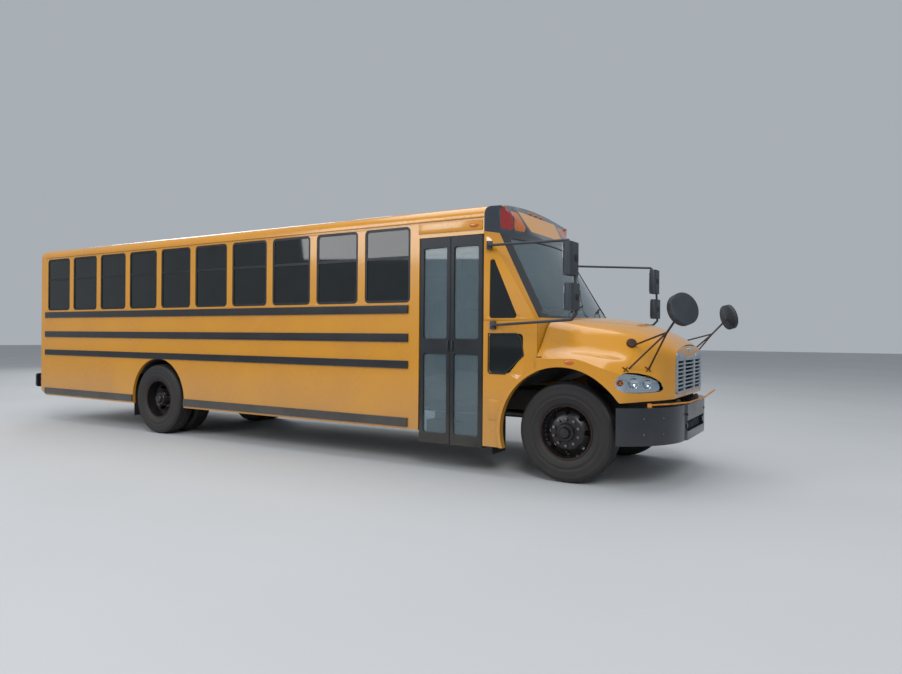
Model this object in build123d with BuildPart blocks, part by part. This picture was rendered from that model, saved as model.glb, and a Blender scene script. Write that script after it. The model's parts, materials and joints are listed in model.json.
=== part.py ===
import math
import os

from build123d import *

os.makedirs("parts", exist_ok=True)

# School bus with a conventional bonnet. Millimetres, +X forward, +Z up, the ground at Z = 0.
# The entrance door is on the right, at -Y. X = 0 is halfway along, so every station below is
# given from the front axle, positive forward, and fwd() turns it into X.

# Overall lengths
wheelbase = 6580.0
rear_overhang = 3500.0
mirror_reach = 1345.0
front_axle_x = (wheelbase + rear_overhang - mirror_reach) / 2


def fwd(station):
    return front_axle_x + station


rear_axle = -wheelbase
bumper_back = -wheelbase - rear_overhang

# Body shell
body_half = 1219.0
wall = 45.0
roof_wall = 40.0
eave_z = 2960.0
roof_z = 3090.0
eave_radius = 130.0
skirt_z = 431.0
floor_top = 1000.0
floor_thick = 40.0
sill_depth = 60.0
inner_half = body_half - wall
rear_bumper_depth = 130.0
body_rear = bumper_back + rear_bumper_depth
rear_cap_depth = 230.0
rear_corner = 110.0
wall_top = 2835.0

# Entrance door
door_front = -917.0
door_width = 855.0
door_rear = door_front - door_width
door_top = 2663.0
door_sill = 296.0
door_thick = 40.0
door_gap = 6.0
door_seam = 14.0
leaf_pivot_inset = 24.0
leaf_pin = 9.0
leaf_pin_height = 25.0
leaf_pivots = [door_front - leaf_pivot_inset, door_rear + leaf_pivot_inset]
leaf_pivot_y = body_half - door_thick / 2

# Side windows
window_count = 10
window_front = -1898.0
window_width = 677.0
window_pitch = 787.0
window_sill = 1921.0
window_top = 2815.0
window_corner = 60.0
frame_depth = 30.0
frame_bar = 32.0
glass_thick = 6.0
driver_window_front = -960.0
driver_window_width = 760.0

# Cab front
cowl_station = -274.0
nose_base = 1700.0
nose_top = 2690.0
nose_foot_tip = -70.0
nose_head_side = -905.0
nose_head_tip = -640.0
nose_head_half = body_half - 44
cap_lean = 240.0
panel_foot = 325.0
cap_lens = 18.0
cap_lamp_foot = 2745.0
cap_lamp_head = 2975.0
cap_lamp_table = [
    # middle, width
    (695.0, 190.0),
    (905.0, 190.0),
]
rear_lamp_z = 2905.0
rear_lamp_radius = 70.0
rear_lamp_table = [620.0, 900.0]
rear_lamp_depth = 25.0
tail_lamp_table = [
    # out, height, radius
    (1010.0, 1560.0, 85.0),
    (800.0, 1560.0, 60.0),
    (1010.0, 1340.0, 60.0),
    (800.0, 1340.0, 50.0),
]

# Wheels
tyre_radius = 530.0
tyre_width = 280.0
rim_radius = 286.0
axle_z = tyre_radius
arch_radius = 690.0
rear_arch_radius = 620.0
front_wheel_y = body_half - 249
kingpin_y = front_wheel_y - 210
dual_spacing = 330.0
rear_wheel_y = body_half - 299
hub_radius = 110.0
spindle_radius = 45.0
running_gap = 0.3
house_wall = 20.0
house_gap = 50.0

# Chassis
rail_y = 430.0
rail_height = 240.0
rail_flange = 85.0
rail_top = floor_top - floor_thick - sill_depth
rail_front = 975.0
rail_web = 10.0

# Bonnet and grille
hood_wall = 25.0
hood_gap = 6.0
hood_rear = cowl_station + hood_gap
hood_front = 1012.0
hood_foot = 905.0
hood_floor = 505.0
fender_half = body_half + 43
fender_front_z = 874.0
wing_front = 540.0
cut_reach = 100.0
hood_table = [
    # station, crown height, shoulder out and height, valley out and height,
    # wing top out and height, side edge out and height
    (hood_rear, nose_base + 27, 1060.0, nose_base - 100, 1125.0, 1330.0, 1195.0, 1352.0, fender_half, 1300.0),
    (120.0, 1690.0, 975.0, 1575.0, 1085.0, 1345.0, 1180.0, 1372.0, fender_half, 1310.0),
    (430.0, 1622.0, 870.0, 1515.0, 1020.0, 1318.0, 1140.0, 1320.0, fender_half - 4, 1225.0),
    (620.0, 1562.0, 790.0, 1470.0, 960.0, 1318.0, 1090.0, 1260.0, 1185.0, 1160.0),
    (784.0, 1500.0, 715.0, 1425.0, 820.0, 1270.0, 905.0, 1205.0, 1000.0, 1110.0),
    (930.0, 1440.0, 655.0, 1385.0, 705.0, 1270.0, 770.0, 1190.0, 830.0, 1100.0),
    (hood_front, 1408.0, 605.0, 1370.0, 622.0, 1270.0, 632.0, 1190.0, 640.0, 1100.0),
]
grille_half = 600.0
grille_foot = 949.0
grille_head = 1374.0

# Rear wheel houses
house_inner = rear_wheel_y - (dual_spacing + tyre_width) / 2 - house_gap - house_wall
house_width = inner_half - house_inner
house_middle = inner_half - house_width / 2

# Front bumper
bumper_face = 1094.0
bumper_foot = 460.0
bumper_head = 835.0
bumper_thick = 70.0
bumper_half = 1255.0
bumper_end = 585.0
bumper_inner = bumper_face - bumper_thick
stub_foot = 680.0
stub_head = 820.0
slot_half = 455.0
slot_foot = 551.0
slot_height = 115.0
tow_y = 395.0
tow_station = 1050.0
tow_z = 608.0
tow_thick = 30.0
tow_radius = 38.0
tow_bore = 21.0
tow_gap = door_gap
plate_pitch = 177.8
plate_bore = 3.5

# Finishes and small clearances
frame_recess = 5.0
glass_recess = 12.0
sash_share = 0.4
windshield_foot_half = body_half - 179
windshield_head_half = nose_head_half - 275
windshield_lift = 60.0
windshield_drop = 50.0
quarter_rear = door_front + 72
quarter_front = door_front + 417
quarter_lift = 30.0
quarter_height = 750.0
quarter_corner = 30.0
lower_window_rear = door_front + 72
lower_window_front = door_front + 479
lower_window_cut = 162.0
lower_window_top = nose_base - 138
lower_window_foot = nose_base - 566
lower_window_rise = 194.0
lower_window_corner = 40.0
rub_depth = 20.0
flare_width = 42.0
flare_depth = 34.0
bulkhead_thick = 30.0
bulkhead_foot = 1240.0
floor_front = -700.0
step_depth = 560.0
step_count = 3
step_lip = 5.0
tread_thick = 30.0
riser = (floor_top - floor_thick - door_sill - tread_thick) / step_count
tread = step_depth / step_count
sill_pitch = window_pitch
sill_count = 11
sill_width = 60.0

# Roof hatches
hatch_stations = [-3150.0, -7870.0]
hatch_size = 600.0
hatch_rim = 45.0
hatch_rise = 20.0
hatch_thick = 50.0
lid_hinge_reach = 16.0
lid_hinge_lift = 14.0
lid_hinge_y = 220.0

# Emergency door
rear_door_half = 480.0
rear_door_top = 2700.0
rear_door_pane = 700.0
rear_pane_width = 420.0
rear_pane_y = 815.0
rear_pane_drop = 80.0
rear_low_pane_z = 1330.0
rear_low_pane_height = 300.0
hinge_heights = [1150.0, 1850.0, 2550.0]
hinge_barrel = 12.0
hinge_stand = 14.0
hinge_strap = 110.0
hinge_strap_thick = 8.0
hinge_barrel_half = 50.0
hinge_ear = 12.0
hinge_bolt = 5.0

# Chassis pieces
cross_stations = [-1300.0, -3400.0, -5700.0, -7500.0, -9500.0]
cross_width = 60.0
beam_width = 110.0
beam_height = 110.0
beam_z = 370.0
beam_corner = 20.0
eye_radius = 65.0
eye_height = 240.0
kingpin_radius = 24.0
yoke_radius = 60.0
yoke_thick = 32.0
yoke_reach = 140.0
spindle_length = 150.0
arm_length = 230.0
arm_half = 28.0
arm_pin_radius = 14.0
pin_drop = 44.0
rod_end_radius = 32.0
rod_end_thick = 36.0
track_rod_radius = 20.0
open_pin_gap = 6.0
spring_y = 390.0
spring_width = 80.0
spring_half = 750.0
spring_thick = 36.0
spring_foot = 60.0
housing_radius = 70.0
housing_half = rear_wheel_y - 360
banjo_radius = 210.0
banjo_half = 120.0
rear_spindle = 560.0
engine_station = 375.0
engine_length = 830.0
engine_foot = 560.0
engine_height = 760.0
gearbox_radius = 125.0
gearbox_length = 900.0
shaft_z = 560.0
shaft_radius = 50.0
radiator_station = 850.0
radiator_thick = 60.0
radiator_head = 1300.0
tank_front = -2600.0
tank_length = 1500.0
tank_depth = 560.0
tank_height = 400.0
tank_corner = 60.0
exhaust_z = 760.0
exhaust_radius = 50.0
silencer_radius = 120.0
silencer_front = -3000.0
silencer_length = 1100.0
rear_bumper_thick = 40.0
rear_bumper_foot = 560.0
rear_bumper_height = 240.0
rear_bumper_half = 1200.0
rear_bumper_corner = 40.0
bumper_flat = 427.0
bumper_step_x = 1073.0
bumper_step_y = 462.0
bumper_bend_x = 948.0
bumper_bend_y = 932.0

# Seats
aisle_half = 165.0
row_count = 11
row_pitch = 690.0
seat_front = -2120.0
bench_foot = 1300.0
cushion_depth = 420.0
cushion_thick = 130.0
back_thick = 90.0
back_height = 620.0
seat_wall_gap = 8.0
seat_rail_width = 40.0
leg_inset = 90.0
leg_length = 300.0
leg_thick = 30.0
driver_station = -1500.0
driver_y = 640.0
driver_cushion_foot = 1330.0
column_station = -960.0
column_z = 1740.0
column_lean = math.radians(60)
column_length = 792.0
steering_radius = 230.0

# Wheel details
rim_half = 110.0
rim_wall = 14.0
disc_thick = 14.0
hand_hole_count = 8
hand_hole_circle = 215.0
hand_hole_radius = 26.0
flange_radius = 165.0
front_offset = 95.0
hub_cap = 25.0

# Mud flaps
flap_thick = 8.0
flap_foot = 230.0
flap_head = floor_top - floor_thick
flap_table = [
    # station, middle, width
    (-830.0, 990.0, 320.0),
    (-7230.0, 868.0, 600.0),
]

# Bonnet details
hood_rear_foot = 1000.0
hinge_station = 1000.0
hinge_z = 866.0
hinge_y = 480.0
hinge_thick = 16.0
hinge_boss = 20.0
hinge_pin = 9.0
grille_notch = 300.0
grille_dip = 45.0
grille_proud = 14.0
grille_depth = 55.0
grille_border = 40.0
slot_count = 8
bar_height = 14.0
slot_table = [
    # middle, width
    (-420.0, 200.0),
    (0.0, 480.0),
    (420.0, 200.0),
]
lamp_station = 750.0
lamp_y = body_half - 209
lamp_z = 1060.0
lamp_angle = math.radians(48)
lamp_half = 275.0
lamp_reach = 260.0

# Mirrors
rod_radius = 9.0
xmirror_y = 1310.0
xmirror_z = 1805.0
xmirror_nx = 0.75
xmirror_ny = -0.6
xmirror_nz = 0.25
xmirror_radius = 155.0
xmirror_thick = 60.0
joint_station = 1049.0
joint_y = 1157.0
joint_z = 1584.0
foot_table = [
    # station, out, height
    (620.0, 1080.0, 1180.0),
    (784.0, 860.0, 1180.0),
    (598.0, 800.0, 1439.0),
]
tube_radius = 14.0
tube_route = [
    # station, out, height
    (-840.0, 1240.0, 2526.0),
    (180.0, 1525.0, 2480.0),
    (250.0, 1535.0, 2400.0),
    (275.0, 1535.0, 1760.0),
    (220.0, 1520.0, 1700.0),
    (-794.0, 1240.0, 1653.0),
]
pad_depth = 30.0
pad_width = 60.0
pad_height = 90.0
head_depth = 90.0
head_width = 240.0
head_table = [
    # station, out, low, high
    (225.0, 1560.0, 2130.0, 2450.0),
    (240.0, 1560.0, 1790.0, 2050.0),
]

# Door panes, low edge and high edge
leaf_stile = 55.0
leaf_corner = 30.0
leaf_panes = [
    # low, high
    (420.0, 1330.0),
    (1500.0, 2540.0),
]

# Signs that swing out
stop_hinge = -1080.0
stop_z = 1675.0
stop_stand = 60.0
stop_bracket_height = 160.0
stop_reach = 330.0
stop_half = 230.0
stop_thick = 20.0
stop_pin_reach = 16.0
stop_neck = 120.0
crossing_station = 850.0
crossing_y = 1010.0
crossing_lift = 40.0
crossing_boss = 24.0
crossing_route = [
    # station, Y, height over the bumper's top
    (850.0, -1010.0, 24.0),
    (1000.0, -830.0, 30.0),
    (1112.0, -440.0, 24.0),
    (1130.0, 300.0, 30.0),
    (1165.0, 680.0, 85.0),
]


def side_plane(side, inner, outer):
    """Upright plane on the low-Y face of a layer that lies between two distances from the middle."""
    return Plane.XZ.offset(-min(side * inner, side * outer))


def finish(piece, name):
    """Label a finished piece and write its file."""
    piece.label = name
    export_step(piece, "parts/" + name + ".step")


def body_outline(half, foot, eave, crown, radius):
    """Closed cross-section of the body: straight sides, rounded eaves and a crowned roof."""
    with BuildSketch(Plane.YZ) as outline:
        with BuildLine():
            Polyline((-half, eave), (-half, foot), (half, foot), (half, eave))
            ThreePointArc((half, eave), (0, crown), (-half, eave))
        make_face()
        fillet(outline.vertices().group_by(Axis.Z)[-1], radius)
    return outline.sketch_local


outer_outline = body_outline(body_half, skirt_z, eave_z, roof_z, eave_radius)
inner_outline = body_outline(
    inner_half, skirt_z - 1, eave_z - roof_wall, roof_z - roof_wall, eave_radius - roof_wall
)

cap_front_face = body_rear + rear_cap_depth
window_mid_z = (window_sill + window_top) / 2
window_height = window_top - window_sill
window_middles = [window_front - window_width / 2 - i * window_pitch for i in range(window_count)]
driver_window_middle = driver_window_front - driver_window_width / 2


# Side walls, from the door post or the driver's window back to the rear cap
def side_wall(side):
    with BuildPart() as panel:
        with BuildSketch(side_plane(side, inner_half, body_half)):
            with BuildLine():
                Polyline(
                    (fwd(cap_front_face), skirt_z),
                    (fwd(door_front), skirt_z),
                    (fwd(door_front), wall_top),
                    (fwd(cap_front_face), wall_top),
                    close=True,
                )
            make_face()
            with Locations([(fwd(s), window_mid_z) for s in window_middles]):
                RectangleRounded(window_width, window_height, window_corner, mode=Mode.SUBTRACT)
            with Locations((fwd(rear_axle), axle_z)):
                Circle(rear_arch_radius, mode=Mode.SUBTRACT)
            if side < 0:
                with Locations((fwd(door_front - door_width / 2), door_top / 2)):
                    Rectangle(door_width, door_top, mode=Mode.SUBTRACT)
            else:
                with Locations((fwd(driver_window_middle), window_mid_z)):
                    RectangleRounded(
                        driver_window_width, window_height, window_corner, mode=Mode.SUBTRACT
                    )
        extrude(amount=-wall)
        if side < 0:
            with BuildSketch(Plane.XY.offset(door_top)):
                with Locations([(fwd(s), -leaf_pivot_y) for s in leaf_pivots]):
                    Circle(leaf_pin + running_gap)
            extrude(amount=leaf_pin_height, mode=Mode.SUBTRACT)
    return panel.part


finish(side_wall(-1), "wall_right")
finish(side_wall(1), "wall_left")

# Roof, with two hatch openings and their rims
hatch_seat = roof_z + hatch_rise
with BuildPart() as roof:
    with BuildSketch(Plane.YZ.offset(fwd(cap_front_face))):
        add(outer_outline)
        add(inner_outline, mode=Mode.SUBTRACT)
    extrude(amount=door_front - cap_front_face)
    with BuildSketch(Plane.XY.offset(hatch_seat)):
        with Locations([(fwd(s), 0) for s in hatch_stations]):
            Rectangle(hatch_size + 2 * hatch_rim, hatch_size + 2 * hatch_rim)
    extrude(amount=-hatch_rise - roof_wall)
    with BuildSketch(Plane.XY):
        with Locations((fwd((door_front + body_rear) / 2), 0)):
            Rectangle(2 * wheelbase, 3 * body_half)
    extrude(amount=wall_top, mode=Mode.SUBTRACT)
    with BuildSketch(Plane.XY.offset(wall_top)):
        with Locations([(fwd(s), 0) for s in hatch_stations]):
            Rectangle(hatch_size, hatch_size)
    extrude(amount=roof_z, mode=Mode.SUBTRACT)
    for station in hatch_stations:
        pin_x = fwd(station + hatch_size / 2 + hatch_rim) + lid_hinge_reach
        pin_z = hatch_seat + lid_hinge_lift
        for middle in (-lid_hinge_y, lid_hinge_y):
            half = hinge_barrel_half + running_gap + hinge_ear
            for edge in (-half, half - hinge_ear):
                with BuildSketch(Plane.XZ.offset(-middle - edge - hinge_ear)):
                    with Locations((pin_x, pin_z)):
                        Circle(hinge_barrel)
                    with Locations((pin_x, pin_z - roof_wall / 2)):
                        Rectangle(2 * hinge_barrel, roof_wall)
                extrude(amount=hinge_ear)
            with BuildSketch(Plane.XZ.offset(-middle - half)):
                with Locations((pin_x, pin_z)):
                    Circle(hinge_bolt)
            extrude(amount=2 * half)
finish(roof.part, "roof")

# Rear cap with rounded corners, the emergency doorway and two fixed windows
with BuildPart() as rear_cap:
    with BuildSketch(Plane.YZ.offset(fwd(body_rear))):
        add(outer_outline)
    extrude(amount=rear_cap_depth)
    fillet(rear_cap.edges().group_by(Axis.X)[0], rear_corner)
    with BuildSketch(Plane.YZ.offset(fwd(body_rear + wall))):
        add(inner_outline)
    extrude(amount=rear_cap_depth, mode=Mode.SUBTRACT)
    with BuildSketch(Plane.YZ.offset(fwd(body_rear))):
        with Locations((0, (floor_top + rear_door_top) / 2)):
            Rectangle(2 * rear_door_half, rear_door_top - floor_top)
        with Locations((rear_pane_y, window_mid_z), (-rear_pane_y, window_mid_z)):
            RectangleRounded(rear_pane_width, window_height, window_corner)
        with Locations((0, rail_top / 2)):
            Rectangle(2 * inner_half, rail_top)
    extrude(amount=wall, mode=Mode.SUBTRACT)
    for height in hinge_heights:
        ear_foot = height - hinge_barrel_half - running_gap - hinge_ear
        ear_pitch = 2 * (hinge_barrel_half + running_gap) + hinge_ear
        for foot in (ear_foot, ear_foot + ear_pitch):
            with BuildSketch(Plane.XY.offset(foot)):
                with Locations((fwd(body_rear - hinge_stand), -rear_door_half)):
                    Circle(hinge_barrel)
                with Locations((fwd(body_rear) - hinge_stand / 2, -rear_door_half - hinge_strap / 2)):
                    Rectangle(hinge_stand, hinge_strap)
            extrude(amount=hinge_ear)
        with BuildSketch(Plane.XY.offset(ear_foot)):
            with Locations((fwd(body_rear - hinge_stand), -rear_door_half)):
                Circle(hinge_bolt)
        extrude(amount=ear_pitch + hinge_ear)
finish(rear_cap.part, "rear_cap")

# Floor on its cross sills, cut away round the steps and over the rear wheels
with BuildPart() as floor:
    with BuildSketch(Plane.XY.offset(floor_top - floor_thick)):
        with BuildLine():
            Polyline(
                (fwd(body_rear + wall), -inner_half),
                (fwd(door_rear), -inner_half),
                (fwd(door_rear), step_depth - body_half),
                (fwd(door_front), step_depth - body_half),
                (fwd(door_front), -inner_half),
                (fwd(floor_front), -inner_half),
                (fwd(floor_front), inner_half),
                (fwd(body_rear + wall), inner_half),
                close=True,
            )
        make_face()
    extrude(amount=floor_thick)
    with BuildSketch(Plane.XY.offset(rail_top)):
        with Locations([(fwd(door_rear - 100 - i * sill_pitch), 0) for i in range(sill_count)]):
            Rectangle(sill_width, 2 * inner_half)
    extrude(amount=sill_depth)
    with BuildSketch(Plane.XY.offset(rail_top)):
        with Locations((fwd(rear_axle), house_middle), (fwd(rear_axle), -house_middle)):
            Rectangle(2 * rear_arch_radius, house_width)
    extrude(amount=floor_top - rail_top, mode=Mode.SUBTRACT)
finish(floor.part, "floor")

# Rear wheel houses, half round over each pair of tyres
with BuildPart() as wheel_houses:
    with BuildSketch(Plane.XZ.offset(-inner_half)):
        with Locations((fwd(rear_axle), axle_z)):
            Circle(rear_arch_radius)
            Circle(rear_arch_radius - house_wall, mode=Mode.SUBTRACT)
        with Locations((fwd(rear_axle), rail_top - tyre_radius)):
            Rectangle(2 * wheelbase, 2 * tyre_radius, mode=Mode.SUBTRACT)
    extrude(amount=house_width)
    with BuildSketch(Plane.XZ.offset(-inner_half + house_width - house_wall)):
        with Locations((fwd(rear_axle), axle_z)):
            Circle(rear_arch_radius - house_wall)
        with Locations((fwd(rear_axle), rail_top - tyre_radius)):
            Rectangle(2 * wheelbase, 2 * tyre_radius, mode=Mode.SUBTRACT)
    extrude(amount=house_wall)
    mirror(about=Plane.XZ)
finish(wheel_houses.part, "wheel_houses")

# Entrance steps: treads down from the floor, open to the doorway
with BuildPart() as stepwell:
    with BuildSketch(Plane.YZ.offset(fwd(door_rear))):
        with BuildLine():
            points = [(step_depth - body_half, floor_top - floor_thick)]
            for i in range(step_count):
                points.append((points[-1][0], points[-1][1] - riser))
                points.append((points[-1][0] - tread, points[-1][1]))
            points[-1] = (door_thick + step_lip - body_half, points[-1][1])
            under = [(y + tread_thick, z - tread_thick) for y, z in reversed(points)]
            under[0] = (points[-1][0], points[-1][1] - tread_thick)
            under[-1] = (points[0][0] + tread_thick, points[0][1])
            Polyline(*points, *under, close=True)
        make_face()
    extrude(amount=door_width)
finish(stepwell.part, "stepwell")


def lower_window_outline():
    """Window in the lower cab side, with its corner cut towards the wheel."""
    with BuildSketch(Plane.XZ) as outline:
        with BuildLine():
            Polyline(
                (fwd(lower_window_rear), lower_window_top),
                (fwd(lower_window_rear), lower_window_foot),
                (fwd(lower_window_front - lower_window_cut), lower_window_foot),
                (fwd(lower_window_front), lower_window_foot + lower_window_rise),
                (fwd(lower_window_front), lower_window_top),
                close=True,
            )
        make_face()
        fillet(outline.vertices(), lower_window_corner)
    return outline.sketch_local


# Lower cab sides between the door post and the bonnet, round the front wheel arch
window_shape = lower_window_outline()
with BuildPart() as cowl_sides:
    for side in (-1, 1):
        with BuildSketch(side_plane(side, inner_half, body_half)):
            with BuildLine():
                Polyline(
                    (fwd(door_front), panel_foot),
                    (fwd(cowl_station), panel_foot),
                    (fwd(cowl_station), nose_base),
                    (fwd(door_front), nose_base),
                    close=True,
                )
            make_face()
            with Locations((fwd(0), axle_z)):
                Circle(arch_radius, mode=Mode.SUBTRACT)
            add(window_shape, mode=Mode.SUBTRACT)
        extrude(amount=-wall)
        with BuildSketch(side_plane(side, body_half, body_half + flare_depth)):
            with Locations((fwd(0), axle_z)):
                Circle(arch_radius + flare_width)
                Circle(arch_radius, mode=Mode.SUBTRACT)
            with Locations((fwd((cowl_station + door_front) / 2), (panel_foot + nose_base) / 2)):
                Rectangle(cowl_station - door_front, nose_base - panel_foot, mode=Mode.INTERSECT)
        extrude(amount=-flare_depth)
finish(cowl_sides.part, "cowl_sides")


def cowl_plan(inset):
    """Plan of the cab's front edge, bowed forward in the middle."""
    with BuildSketch(Plane.XY) as plan:
        with BuildLine():
            Polyline(
                (fwd(cowl_station - inset), body_half),
                (fwd(door_front), body_half),
                (fwd(door_front), -body_half),
                (fwd(cowl_station - inset), -body_half),
            )
            ThreePointArc(
                (fwd(cowl_station - inset), -body_half),
                (fwd(nose_foot_tip - inset), 0),
                (fwd(cowl_station - inset), body_half),
            )
        make_face()
    return plan.sketch_local


# Bulkhead in front of the feet, bowed like the cab's front edge
cowl_edge = cowl_plan(0)
cowl_inner_edge = cowl_plan(bulkhead_thick)
with BuildPart() as bulkhead:
    with BuildSketch(Plane.XY.offset(bulkhead_foot)):
        add(cowl_edge)
        add(cowl_inner_edge, mode=Mode.SUBTRACT)
        with Locations((fwd(0), 0)):
            Rectangle(-2 * door_front, 2 * inner_half, mode=Mode.INTERSECT)
    extrude(amount=nose_base - bulkhead_foot)
    with BuildSketch(Plane.XZ.offset(-inner_half)):
        with BuildLine():
            Polyline(
                (fwd(floor_front), floor_top - floor_thick),
                (fwd(floor_front), floor_top),
                (fwd(nose_foot_tip), bulkhead_foot + house_wall),
                (fwd(nose_foot_tip), bulkhead_foot),
                close=True,
            )
        make_face()
    extrude(amount=2 * inner_half)
    with BuildSketch(Plane.XY.offset(floor_top - floor_thick)):
        add(cowl_edge)
    extrude(amount=nose_base - floor_top + floor_thick, mode=Mode.INTERSECT)
finish(bulkhead.part, "bulkhead")


# Upper cab front: a lofted shell from the cowl up to the roof cap
def nose_sketch(height, half, side_station, tip_station, inset):
    with BuildSketch(Plane.XY.offset(height)) as outline:
        with BuildLine():
            Polyline(
                (fwd(side_station), half - inset),
                (fwd(door_front), body_half - inset),
                (fwd(door_front), -body_half + inset),
                (fwd(side_station), -half + inset),
            )
            ThreePointArc(
                (fwd(side_station), -half + inset),
                (fwd(tip_station - inset), 0),
                (fwd(side_station), half - inset),
            )
        make_face()
    return outline.sketch


def nose_form(inset):
    with BuildPart() as form:
        loft([
            nose_sketch(nose_base, body_half, cowl_station - inset, nose_foot_tip, inset),
            nose_sketch(nose_top, nose_head_half, nose_head_side, nose_head_tip, inset),
        ])
    return form.part


def nose_layer(outer_inset, inner_inset):
    outer = nose_form(outer_inset)
    inner = nose_form(inner_inset)
    with BuildPart() as layer:
        add(outer)
        add(inner, mode=Mode.SUBTRACT)
    return layer.part


with BuildPart() as windshield_prism:
    with BuildSketch(Plane.YZ.offset(fwd(door_front))) as opening:
        with BuildLine():
            Polyline(
                (-windshield_foot_half, nose_base + windshield_lift),
                (windshield_foot_half, nose_base + windshield_lift),
                (windshield_head_half, nose_top - windshield_drop),
                (-windshield_head_half, nose_top - windshield_drop),
                close=True,
            )
        make_face()
        fillet(opening.vertices(), window_corner)
    extrude(amount=-door_front)

with BuildPart() as quarter_prism:
    with BuildSketch(Plane.XZ.offset(body_half)) as triangle:
        with BuildLine():
            Polyline(
                (fwd(quarter_rear), nose_base + quarter_lift),
                (fwd(quarter_front), nose_base + quarter_lift),
                (fwd(quarter_rear), nose_base + quarter_lift + quarter_height),
                close=True,
            )
        make_face()
        fillet(triangle.vertices(), quarter_corner)
    extrude(amount=-2 * body_half)

nose_shell = nose_layer(0, wall)
nose_pane = nose_layer(glass_recess, glass_recess + glass_thick)
with BuildPart() as cab_nose:
    add(nose_shell)
    add(windshield_prism.part, mode=Mode.SUBTRACT)
    add(quarter_prism.part, mode=Mode.SUBTRACT)
finish(cab_nose.part, "cab_nose")

with BuildPart() as windshield:
    add(nose_pane)
    add(windshield_prism.part, mode=Mode.INTERSECT)
finish(windshield.part, "windshield")

# Front roof cap, a shell that holds the sign and the warning lamps
def cap_form(inset):
    rise = (roof_z - inset - nose_top) / (roof_z - nose_top)
    outline = body_outline(
        body_half - inset, skirt_z, eave_z - inset, roof_z - inset, eave_radius - inset
    )
    with BuildPart() as form:
        with BuildSketch(Plane.YZ.offset(fwd(door_front))):
            add(outline)
        extrude(amount=nose_head_tip - door_front)
        with BuildSketch(Plane.XZ.offset(body_half)):
            with BuildLine():
                Polyline(
                    (fwd(door_front), nose_top),
                    (fwd(nose_head_tip - inset), nose_top),
                    (fwd(nose_head_tip - cap_lean * rise - inset), roof_z - inset),
                    (fwd(door_front), roof_z - inset),
                    close=True,
                )
            make_face()
        extrude(amount=-2 * body_half, mode=Mode.INTERSECT)
        with BuildSketch(Plane.XY.offset(nose_top)):
            with BuildLine():
                Polyline(
                    (fwd(nose_head_side), nose_head_half - inset),
                    (fwd(door_front), body_half - inset),
                    (fwd(door_front), -body_half + inset),
                    (fwd(nose_head_side), -nose_head_half + inset),
                )
                ThreePointArc(
                    (fwd(nose_head_side), -nose_head_half + inset),
                    (fwd(nose_head_tip - inset), 0),
                    (fwd(nose_head_side), nose_head_half - inset),
                )
            make_face()
        extrude(amount=roof_z - nose_top, mode=Mode.INTERSECT)
    return form.part


cap_outside = cap_form(0)
cap_middle = cap_form(cap_lens)
cap_inside = cap_form(wall)
with BuildPart() as cap_lamp_prisms:
    with BuildSketch(Plane.YZ.offset(fwd(door_front))):
        for middle, width in cap_lamp_table:
            for side in (-1, 1):
                with Locations((side * middle, (cap_lamp_foot + cap_lamp_head) / 2)):
                    RectangleRounded(width, cap_lamp_head - cap_lamp_foot, quarter_corner)
    extrude(amount=nose_head_tip - door_front)
with BuildPart() as cap_lenses:
    add(cap_outside)
    add(cap_middle, mode=Mode.SUBTRACT)
    add(cap_lamp_prisms.part, mode=Mode.INTERSECT)
with BuildPart() as front_cap:
    add(cap_outside)
    add(cap_inside, mode=Mode.SUBTRACT)
    add(cap_lenses.part, mode=Mode.SUBTRACT)
finish(front_cap.part, "front_cap")

with BuildPart() as rear_warning_lamps:
    with BuildSketch(Plane.YZ.offset(fwd(body_rear - rear_lamp_depth))):
        with Locations([(side * out, rear_lamp_z) for out in rear_lamp_table for side in (-1, 1)]):
            Circle(rear_lamp_radius)
    extrude(amount=rear_lamp_depth)
with BuildPart() as warning_lamps:
    add(cap_lenses.part)
    add(rear_warning_lamps.part)
finish(warning_lamps.part, "warning_lamps")

with BuildPart() as tail_lamps:
    with BuildSketch(Plane.YZ.offset(fwd(body_rear - rear_lamp_depth))):
        for out, height, radius in tail_lamp_table:
            for side in (-1, 1):
                with Locations((side * out, height)):
                    Circle(radius)
    extrude(amount=rear_lamp_depth)
finish(tail_lamps.part, "tail_lamps")

# Window frames: each has a bar that splits the upper and lower sash
sash_middle_z = window_top - sash_share * window_height


def window_frame(side, middle, width):
    with BuildPart() as frame:
        with BuildSketch(side_plane(side, body_half - frame_depth, body_half - frame_recess)):
            with Locations((fwd(middle), window_mid_z)):
                RectangleRounded(width, window_height, window_corner)
                RectangleRounded(
                    width - 2 * frame_bar,
                    window_height - 2 * frame_bar,
                    window_corner - frame_bar,
                    mode=Mode.SUBTRACT,
                )
            with Locations((fwd(middle), sash_middle_z)):
                Rectangle(width - frame_bar, frame_bar)
        extrude(amount=frame_recess - frame_depth)
    return frame.part


def window_panes(side, middle, width):
    depth = (frame_depth + frame_recess) / 2
    with BuildPart() as panes:
        with BuildSketch(side_plane(side, body_half - depth, body_half - depth + glass_thick)):
            with Locations((fwd(middle), window_mid_z)):
                RectangleRounded(
                    width - 2 * frame_bar,
                    window_height - 2 * frame_bar,
                    window_corner - frame_bar,
                )
            with Locations((fwd(middle), sash_middle_z)):
                Rectangle(width, frame_bar, mode=Mode.SUBTRACT)
        extrude(amount=-glass_thick)
    return panes.part


window_table = [(side, middle, window_width) for side in (-1, 1) for middle in window_middles]
window_table.append((1, driver_window_middle, driver_window_width))
frame_list = [window_frame(side, middle, width) for side, middle, width in window_table]
pane_list = [window_panes(side, middle, width) for side, middle, width in window_table]
with BuildPart() as window_frames:
    add(frame_list)
finish(window_frames.part, "window_frames")

with BuildPart() as window_glass:
    add(pane_list)

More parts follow.
